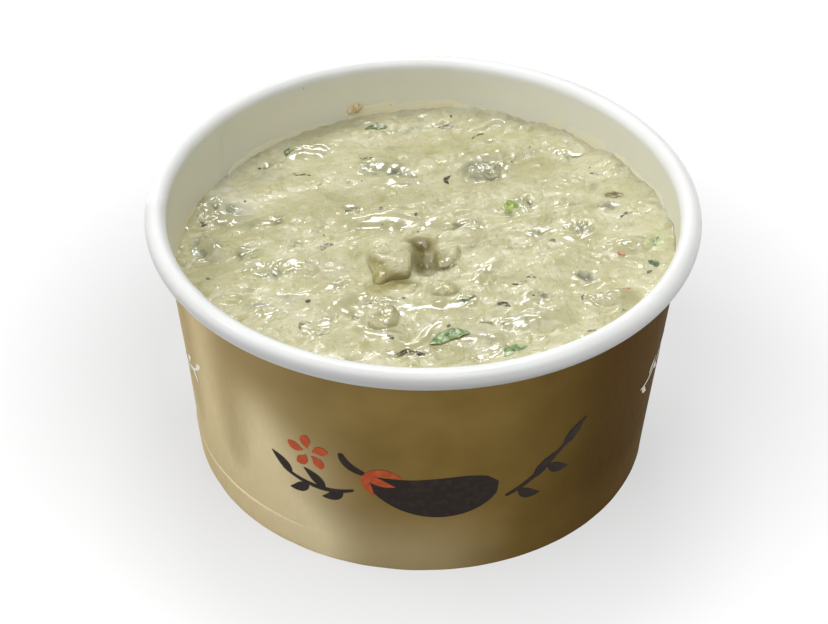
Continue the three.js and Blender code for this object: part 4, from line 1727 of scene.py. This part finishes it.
@dataclass
class Dip:
    """The dip itself: one closed body with a finely modelled skin."""

    relief: Relief
    flesh: list[Piece]
    cover: float = 0.12
    soft: float = 0.5
    first_cuts: int = 14
    second_cuts: int = 11
    into_wall: float = 0.08
    above: float = 100.0

    def build(self) -> Piece:
        """A six-sided fan cut into fine rings, rounded to the tub, raised to the skin and closed below.

        Returns:
            The dip.
        """
        clear_selection()
        bpy.ops.mesh.primitive_circle_add(vertices=6, radius=1, fill_type="TRIFAN")
        piece = bpy.context.object
        piece.name = "dip_skin"
        for cuts in (self.first_cuts, self.second_cuts):
            edit(piece)
            bpy.ops.mesh.subdivide(number_cuts=cuts)
            close_edit()
        x, y, _ = places(piece).T
        far = np.argmax(np.hypot(x, y))
        angle = np.arctan2(y, x)
        within = np.mod(angle - math.atan2(y[far], x[far]), math.pi / 3) - math.pi / 6
        share = np.hypot(x, y) / (math.cos(math.pi / 6) / np.cos(within))
        reach = self.relief.reach
        edge = self.relief.broad(reach * np.cos(angle), reach * np.sin(angle))
        radius = share * (TUB.inner(edge) + self.into_wall)
        x, y = radius * np.cos(angle), radius * np.sin(angle)
        z = self.relief.height(x, y)
        for flesh, block_piece in zip(FLESH, self.flesh):
            self.creep(flesh, block_piece, x, y, z)
        move_round(piece, radius, angle, z)
        paint_all(piece, self.relief.colours(x, y))
        self.close_below(piece)
        smooth(piece, SMOOTH_ALL)
        return piece

    def creep(self, flesh: Flesh, lump: Piece, x: Array, y: Array, z: Array) -> None:
        """Draws the skin up over part of a piece of flesh, so that the two run into one another.

        Args:
            flesh: the piece's sizes.
            lump: the piece itself.
            x: places of the skin's corners, in mm.
            y: the same.
            z: their heights, which are changed.
        """
        tree = BVHTree.FromObject(lump, bpy.context.evaluated_depsgraph_get())
        near = np.flatnonzero(np.hypot(x - flesh.x, y - flesh.y) < flesh.span * 1.5)
        for i, part in zip(near, flesh.covered(x[near], y[near])):
            hit = tree.ray_cast(Vector((x[i], y[i], self.above)) * MM, Vector((0, 0, -1)))[0]
            if hit is not None:
                target = hit.z / MM + self.cover * part - flesh.bare * (1 - part)
                z[i] = (z[i] + target + math.hypot(z[i] - target, self.soft)) / 2

    def close_below(self, piece: Piece) -> None:
        """Pulls the skin's edge down to the foot and closes the underside.

        Args:
            piece: the skin, which is changed.
        """
        edit(piece)
        bpy.ops.mesh.select_all(action="DESELECT")
        bpy.ops.mesh.select_mode(type="EDGE")
        bpy.ops.mesh.select_non_manifold(extend=False, use_wire=False, use_multi_face=False,
                                         use_non_contiguous=False, use_verts=False)
        bpy.ops.mesh.extrude_region_move()
        close_edit()
        chosen = np.zeros(len(piece.data.vertices), dtype=bool)
        piece.data.vertices.foreach_get("select", chosen)
        corners = places(piece) / MM
        foot = TUB.disc_top + TUB.gap
        x, y, _ = corners.T
        angle = np.arctan2(y, x)
        radius = np.where(chosen, TUB.inner(foot) - TUB.gap, np.hypot(x, y))
        move_round(piece, radius, angle, np.where(chosen, foot, corners[:, 2]))
        bpy.ops.object.mode_set(mode="EDIT")
        bpy.ops.mesh.fill()
        bpy.ops.mesh.select_all(action="SELECT")
        bpy.ops.mesh.normals_make_consistent(inside=False)
        close_edit()

    def dress(self) -> None:
        """Builds the dip and gives it its glossy skin."""
        hand_in(self.build(), DipFinish("dip_skin").make(), ("dip",))


@dataclass
class FleshPieces:
    """The larger pieces of flesh, each a craggy block that stands out of the dip."""

    relief: Relief
    fineness: int = 6

    def build(self, flesh: Flesh) -> Piece:
        """One piece, shaped like its solid with finer crags.

        Args:
            flesh: its place, faces and tones.

        Returns:
            The piece, painted as the dip is.
        """
        piece, way = ball(flesh.name + "_flesh", self.fineness)
        way /= np.linalg.norm(way, axis=1)[:, None]
        px, py, pz = way.T
        k = flesh.crags
        fine = 0.015 * rolling(px * 4 + 3 * k, py * 4 + pz * 3, 1.0, 101 + k)
        fine += 0.006 * rolling(px * 12, py * 12 + pz * 9, 1.0, 111 + k)
        local = way * (flesh.reach(way) * (1 + fine))[:, None]
        level = float(self.relief.plane(np.array(flesh.x), np.array(flesh.y)))
        shaped = local + np.array([flesh.x, flesh.y, level + flesh.lift])
        x, y = shaped[:, 0], shaped[:, 1]
        facing = ease(0.2, 0.7, pz)
        shaped[:, 2] += flesh.wet * self.relief.fine(x, y) * facing
        move_to(piece, shaped * MM)
        smooth(piece, SMOOTH_ALL)
        # painted shade: faces turned down, the right face and the low front are painted olive and brown
        low = ease(0.35, -0.15, pz)
        lobe_tone_and_shade = sum(lobe.olive * lobe.share(way) for lobe in flesh.lobes)
        front_low_shade = ease(0.3, 0.8, -py) * ease(-0.3, 0.05, px) * ease(0.55, 0.05, pz)
        shaded = ease(0.7, 0.95, px) * low + 0.6 * front_low_shade
        found = self.relief.colours(x, y)
        found["rough"] = np.maximum(found["rough"] * facing, flesh.wet)
        # olive over the lower faces and in the lobes' valleys is painted shade, over the piece's own olive
        # tone
        found["olive"] = found["olive"] * 0.5 + flesh.olive + 0.75 * low + lobe_tone_and_shade
        found["grey"] = found["grey"] * 0.2 + flesh.grey
        found["pulp"] = found["pulp"] + flesh.pulp
        # half the painted shade of the pulp's hollows
        found["hollow_shade"] = found["hollow_shade"] * 0.5
        # painted shade in brown on the right face and the low front
        found["brown_and_shade"] = found["brown_and_shade"] * 0.2 * low + shaded * flesh.brown_and_shade
        paint_all(piece, found)
        return piece

    def dress(self) -> list[Piece]:
        """Builds each piece in place of its solid.

        Returns:
            The pieces, in the order of their sizes.
        """
        finish = DipFinish("aubergine_flesh", scatter=2.2).make()
        pieces = [self.build(flesh) for flesh in FLESH]
        for flesh, piece in zip(FLESH, pieces):
            hand_in(piece, finish, (flesh.name,))
        return pieces


class Kind(Enum):
    """What a scrap in the skin is."""

    HERB = "herb_strands"
    CHAR = "charred_flecks"
    SKIN = "skin_scraps"
    RED = "red_flecks"
    LEAF = "herb_leaves"
    BLADE = "herb_blades"


@dataclass(frozen=True)
class Scrap:
    """A strand, fleck or leaf lying in the skin: its place, size and turn, its bend and its lean."""

    x: float
    y: float
    long: float
    wide: float
    turn: float
    bend: float
    lean: float = 0.0


def scraps(*rows: tuple[float, ...]) -> tuple[Scrap, ...]:
    """Scraps from rows of their values."""
    return tuple(Scrap(*row) for row in rows)


SCRAPS = {
    Kind.HERB: scraps(
        (-24.8, 31.9, 2.6, 1.2, 60, 0.2), (-9, 38.6, 4.2, 1.5, 6, 0.1), (40.2, -4.5, 2.6, 1.4, -55, 0.2),
        (39.6, -6.9, 1.2, 0.7, 40, 0.2), (29, -22.9, 1.8, 0.8, 15, 0.1),
        (-13.4, 13.1, 1.6, 0.7, 40, 0.2), (8, -13, 2.6, 1.4, 20, 0.1),
    ),
    Kind.CHAR: scraps(
        (-22.1, 24.3, 2.9, 0.42, -4, 0.12), (-10.6, 29, 2.4, 0.5, -5, -0.1),
        (4.8, 22.2, 2.7, 0.9, 82, 0.3), (10, 35.8, 2.8, 0.4, 35, 0.12), (31, 22.4, 1.7, 0.5, -12, 0.1),
        (36.2, 9.8, 2.6, 0.5, 35, 0.15), (16.8, -9, 2.9, 0.55, 18, -0.15),
        (18.9, -7.9, 1.8, 0.35, -6, 0.1), (13.9, -14.8, 2.9, 0.9, -18, 0.2),
        (27.9, -13.7, 2.2, 0.45, 86, 0.15), (-2.6, -28.2, 6.6, 1.1, 0, 0.15),
        (-5.4, -23.4, 1.6, 0.7, -40, 0.1), (-39.5, 10.9, 1.6, 1, 30, 0.2),
    ),
    Kind.SKIN: scraps(
        (-16.9, 2.6, 2.8, 1.3, 42, 0.25), (4.1, 38.8, 3, 0.9, 3, -0.1), (22.8, 2.8, 1.6, 0.8, -25, 0.1),
        (34.4, 15.6, 3.4, 1.8, 0, 0.0), (11.2, -20.6, 3.2, 0.5, -25, 0.2),
        (-20.1, -18.9, 2.6, 0.8, 50, 0.3), (-17.1, -20.9, 2.8, 0.8, -10, -0.2),
    ),
    Kind.RED: scraps(
        (34.8, -1.9, 1.4, 0.9, -20, 0.1), (35.3, -12.4, 1.7, 1.2, 35, 0.1),
    ),
    Kind.LEAF: scraps(
        (15.9, 12.6, 3.4, 2.1, 52, 0.1, 24),
    ),
    Kind.BLADE: scraps(
        (41.3, 1.2, 2.4, 1.1, 75, 0.3), (15.9, -27.3, 4.8, 1.9, 35, 0.15),
        (4.7, -24.2, 7.2, 2.4, 20, 0.1, 8),
    ),
}
SCRAP_FINISHES = {
    Kind.HERB: ScrapFinish("herb_green", shade(110, 128, 84), shade(56, 74, 46)),
    Kind.CHAR: ScrapFinish("charred_skin", shade(96, 92, 58), shade(44, 42, 22)),
    Kind.SKIN: ScrapFinish("aubergine_skin", shade(144, 138, 104), shade(88, 82, 58)),
    Kind.RED: ScrapFinish("red_spice", shade(204, 126, 88), shade(160, 88, 62)),
    Kind.LEAF: ScrapFinish("leaf_green", shade(172, 184, 92), shade(118, 146, 62)),
    Kind.BLADE: ScrapFinish("blade_green", shade(138, 158, 96), shade(66, 96, 60), shade(172, 186, 142)),
}


@dataclass
class Scraps:
    """Herb strands, charred flecks, scraps of skin, spice and leaves, one piece for each kind."""

    relief: Relief
    thickness: float = 0.14
    large: float = 7.0
    small: float = 1.2
    speck_count: int = 34
    seed: int = 7

    def specks(self) -> dict[Kind, list[Scrap]]:
        """Tiny specks scattered between the larger scraps, by seeded draws.

        Returns:
            The specks of each kind.
        """
        draw = np.random.RandomState(self.seed)
        found = {kind: [] for kind in Kind}
        for _ in range(self.speck_count):
            radius = (self.relief.reach - 1.5) * math.sqrt(draw.rand())
            turn = 2 * math.pi * draw.rand()
            kind = (Kind.CHAR, Kind.HERB, Kind.SKIN)[int(3 * draw.rand())]
            long = 0.35 + 0.75 * draw.rand() ** 2
            wide = long * (0.3 + 0.5 * draw.rand())
            x, y = radius * math.cos(turn), radius * math.sin(turn)
            found[kind].append(Scrap(x, y, long, wide, 180 * draw.rand(), 0.2 * draw.rand()))
        return found

    def sheet(self, scrap: Scrap, leaf: bool) -> Piece:
        """One scrap as a bent sheet that lies on the skin.

        Args:
            scrap: its place, size and bend.
            leaf: whether it is finely cut and stands up along its vein.

        Returns:
            The sheet.
        """
        columns, rows = (24, 10) if leaf else (10, 5) if scrap.long > self.small else (5, 3)
        piece = grid_piece("scrap", columns, rows)
        u, v, _ = places(piece).T
        tear = 0.35 if leaf else 1.0
        teeth = 0.16 * np.sin(7 * u + 9 * scrap.x) + 0.1 * np.sin(13 * u * np.sign(v) + scrap.y)
        width = np.clip(1 - np.abs(u) ** 2.2, 0, 1) ** 0.6 * (1 + tear * teeth)
        along = u * scrap.long / 2
        across = v * scrap.wide / 2 * np.maximum(width, 0.08) + scrap.bend * scrap.long * (1 - u * u)
        turn = math.radians(scrap.turn)
        x = scrap.x + along * math.cos(turn) - across * math.sin(turn)
        y = scrap.y + along * math.sin(turn) + across * math.cos(turn)
        lift = math.tan(math.radians(scrap.lean)) * across
        if leaf:
            lift = lift + 0.3 + 0.12 * np.sin(4 * u + v) - 0.12 * np.exp(-((v / 0.16) ** 2))
        move_to(piece, np.stack([x, y, self.relief.height(x, y) + lift], axis=1) * MM)
        return piece

    def dress(self) -> None:
        """Builds one piece for each kind and colours it."""
        specks = self.specks()
        for kind, finish in SCRAP_FINISHES.items():
            found = [*SCRAPS[kind], *specks[kind]]
            sheets = [self.sheet(s, kind is Kind.LEAF or s.long > self.large) for s in found]
            whole = join(sheets, kind.value)
            thicken(whole, self.thickness)
            smooth(whole, 60)
            hand_in(whole, finish.make(), ("dip",))


@dataclass(frozen=True)
class Smear:
    """A smear on the inner wall: its ends in degrees, its climb in mm, how ragged and thick it is."""

    start: float
    end: float
    climb: float
    ragged: float
    cover: float


@dataclass
class WallSmears:
    """Thin oily smears of dip left on the inner wall above the skin, with crumbs stuck in them."""

    relief: Relief
    thickness: float = 0.3
    embedded: float = 0.12
    below: float = 0.6
    smears: tuple[Smear, ...] = (
        Smear(95, 109, 2.3, 0.35, 1.0), Smear(78, 98, 1.9, 0.5, 0.9), Smear(57, 80, 1.1, 0.6, 0.7),
        Smear(112, 130, 1.0, 0.7, 0.6), Smear(126, 145, 1.0, 0.7, 0.8), Smear(54, 60, 2.4, 0.4, 0.55),
        Smear(40, 54, 1.7, 0.6, 0.55), Smear(12, 42, 0.7, 0.7, 0.6), Smear(160, 181, 3.2, 0.4, 1.0),
        Smear(149, 163, 1.6, 0.6, 0.7), Smear(186, 250, 0.8, 0.9, 0.5), Smear(288, 345, 0.9, 0.9, 0.5),
    )
    crumbs: tuple[Point, ...] = (
        (106.6, 41.3, 0.95), (107.9, 40.8, 0.75), (98.2, 41.0, 0.2), (152, 47.7, 0.14), (120, 47.8, 0.16),
        (84.5, 40.2, 0.22), (168, 39.4, 0.2),
    )

    def film(self, smear: Smear) -> Piece:
        """One smear: a thin sheet on the wall with a ragged upper edge.

        Args:
            smear: its place and shape.

        Returns:
            The sheet, painted with how thick it covers the board.
        """
        span = smear.end - smear.start
        piece = grid_piece("smear", max(24, int(span * 2)), 11)
        u, v, _ = places(piece).T
        turn = np.radians(smear.start + span * (u + 1) / 2)
        reach = self.relief.reach
        floor = self.relief.broad(reach * np.cos(turn), reach * np.sin(turn))
        ends = np.clip(1 - np.abs(u) ** 5, 0, 1)
        edge = 1 + smear.ragged * crags(turn * reach, turn * 0 + smear.start, 3.5, 201, 4)
        height = smear.climb * np.clip(edge, 0.1, 2) * ends
        up = (v + 1) / 2
        z = floor - self.below + (height + self.below) * up
        proud = -0.03 + (self.thickness * smear.cover + 0.06) * (1 - up) ** 0.8
        move_round(piece, TUB.inner(z) - proud * (1 + 0.4 * rolling(turn * reach, z, 1.2, 210)), turn, z)
        paint(piece, "cover", (1 - 0.85 * up**1.6) * smear.cover * (0.4 + 0.6 * ends))
        return piece

    def crumb(self, turn: float, height: float, size: float) -> Piece:
        """A crumb stuck on the wall.

        Args:
            turn: its place round the wall, in degrees.
            height: its height in mm.
            size: half its size in mm.

        Returns:
            The crumb.
        """
        piece, way = ball("crumb", 3)
        x, y, z = way.T
        rough = 1 + 0.35 * rolling(x * 1.5 + turn, y * 1.5 + z, 1.0, 221)
        angle = math.radians(turn)
        out = np.array((math.cos(angle), math.sin(angle), 0))
        flat = way * rough[:, None]
        flat -= 0.45 * (flat @ out)[:, None] * out
        middle = out * (TUB.inner(height) - 0.3 * size) + np.array((0, 0, height))
        move_to(piece, (flat * size + middle) * MM)
        return piece

    def dress(self) -> None:
        """Builds the smears and the crumbs, pressed a little into the board."""
        smears = join([self.film(smear) for smear in self.smears], "wall_smears")
        thicken(smears, self.embedded, 1)
        crumbs = join([self.crumb(*crumb) for crumb in self.crumbs], "wall_crumbs")
        toasted = ScrapFinish("toasted_crumb", shade(238, 226, 188), shade(218, 180, 122))
        for piece, finish, slot in ((smears, SmearFinish(), "dip"), (crumbs, toasted, "aubergine")):
            smooth(piece, 60)
            hand_in(piece, finish.make())


# ---- Floor, lights and camera ------------------------------------------------------------------


@dataclass(frozen=True)
class Softbox:
    """A rectangular light: the way to it from the dip in degrees, its distance, size and brightness."""

    name: str
    turn: float
    elevation: float
    distance: float
    width: float
    depth: float
    power: float


@dataclass
class Studio:
    """The plain floor, the lights and the camera."""

    world: float = 0.2
    lens: float = 128.29
    sensor: float = 36.0
    floor_size: float = 8.0
    aim: Point = (0.0, 0.0, 0.03)
    camera_place: Point = (0.0, -0.418128, 0.348876)
    camera_right: Point = (0.99993943, 0.00870465, 0.00673487)
    camera_up: Point = (-0.01065182, 0.61145304, 0.79120902)
    lights: tuple[Softbox, ...] = (
        Softbox("key_left", 200, 40, 1.3, 1.5, 1.1, 4.9),
        Softbox("front_fill", 250, 60, 1.4, 1.4, 1.2, 4.4),
        Softbox("fill_right", 325, 58, 1.3, 0.9, 0.7, 3.4),
        Softbox("low_left", 186, 8, 0.9, 0.5, 0.2, 1.2),
        Softbox("ceiling_back", 93, 66, 1.2, 0.46, 0.34, 7.2),
        Softbox("window_back", 101, 20, 1.3, 0.4, 0.12, 2.0),
        Softbox("ceiling_left", 165, 52, 1.2, 0.22, 0.14, 1.8),
    )

    def floor(self) -> None:
        """A wide pale floor."""
        clear_selection()
        bpy.ops.mesh.primitive_grid_add(x_subdivisions=8, y_subdivisions=8, size=self.floor_size)
        floor = bpy.context.object
        floor.name = "floor"
        floor.data.materials.append(FloorFinish().make())

    def hang(self, box: Softbox) -> None:
        """Hangs one light and turns it to the dip.

        Args:
            box: the light's place, size and brightness.
        """
        data = bpy.data.lights.new(box.name, "AREA")
        data.shape = "RECTANGLE"
        data.size = box.width
        data.size_y = box.depth
        data.energy = box.power
        lamp = bpy.data.objects.new(box.name, data)
        bpy.context.scene.collection.objects.link(lamp)
        turn, rise = math.radians(box.turn), math.radians(box.elevation)
        way = Vector((math.cos(turn) * math.cos(rise), math.sin(turn) * math.cos(rise), math.sin(rise)))
        lamp.location = Vector(self.aim) + way * box.distance
        lamp.rotation_euler = way.to_track_quat("Z", "Y").to_euler()

    def set_camera(self) -> None:
        """Puts the camera at the usual viewing angle."""
        data = bpy.data.cameras.new("camera")
        data.lens = self.lens
        data.sensor_width = self.sensor
        camera = bpy.data.objects.new("camera", data)
        bpy.context.scene.collection.objects.link(camera)
        right, up = Vector(self.camera_right), Vector(self.camera_up)
        turn = Matrix((right, up, right.cross(up))).transposed()
        camera.matrix_world = Matrix.Translation(self.camera_place) @ turn.to_4x4()
        bpy.context.scene.camera = camera

    def dress(self) -> None:
        """Sets the stage."""
        scene = bpy.context.scene
        scene.view_settings.view_transform = "Standard"
        scene.world = scene.world or bpy.data.worlds.new("room")
        scene.world.use_nodes = True
        room = scene.world.node_tree.nodes["Background"].inputs
        room["Color"].default_value = (1, 1, 1, 1)
        room["Strength"].default_value = self.world
        self.floor()
        for box in self.lights:
            self.hang(box)
        self.set_camera()


def main() -> None:
    """Builds and dresses every sub-assembly in order."""
    logging.basicConfig(level=logging.INFO, format="%(name)s: %(message)s")
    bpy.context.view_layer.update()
    relief = Relief()
    pieces = FleshPieces(relief).dress()
    for part in (PaperTub(), TubPrint(), Dip(relief, pieces), Scraps(relief), WallSmears(relief)):
        log.info("building %s", type(part).__name__)
        part.dress()
    Studio().dress()
    clear_selection()


if __name__ == "__main__":
    main()
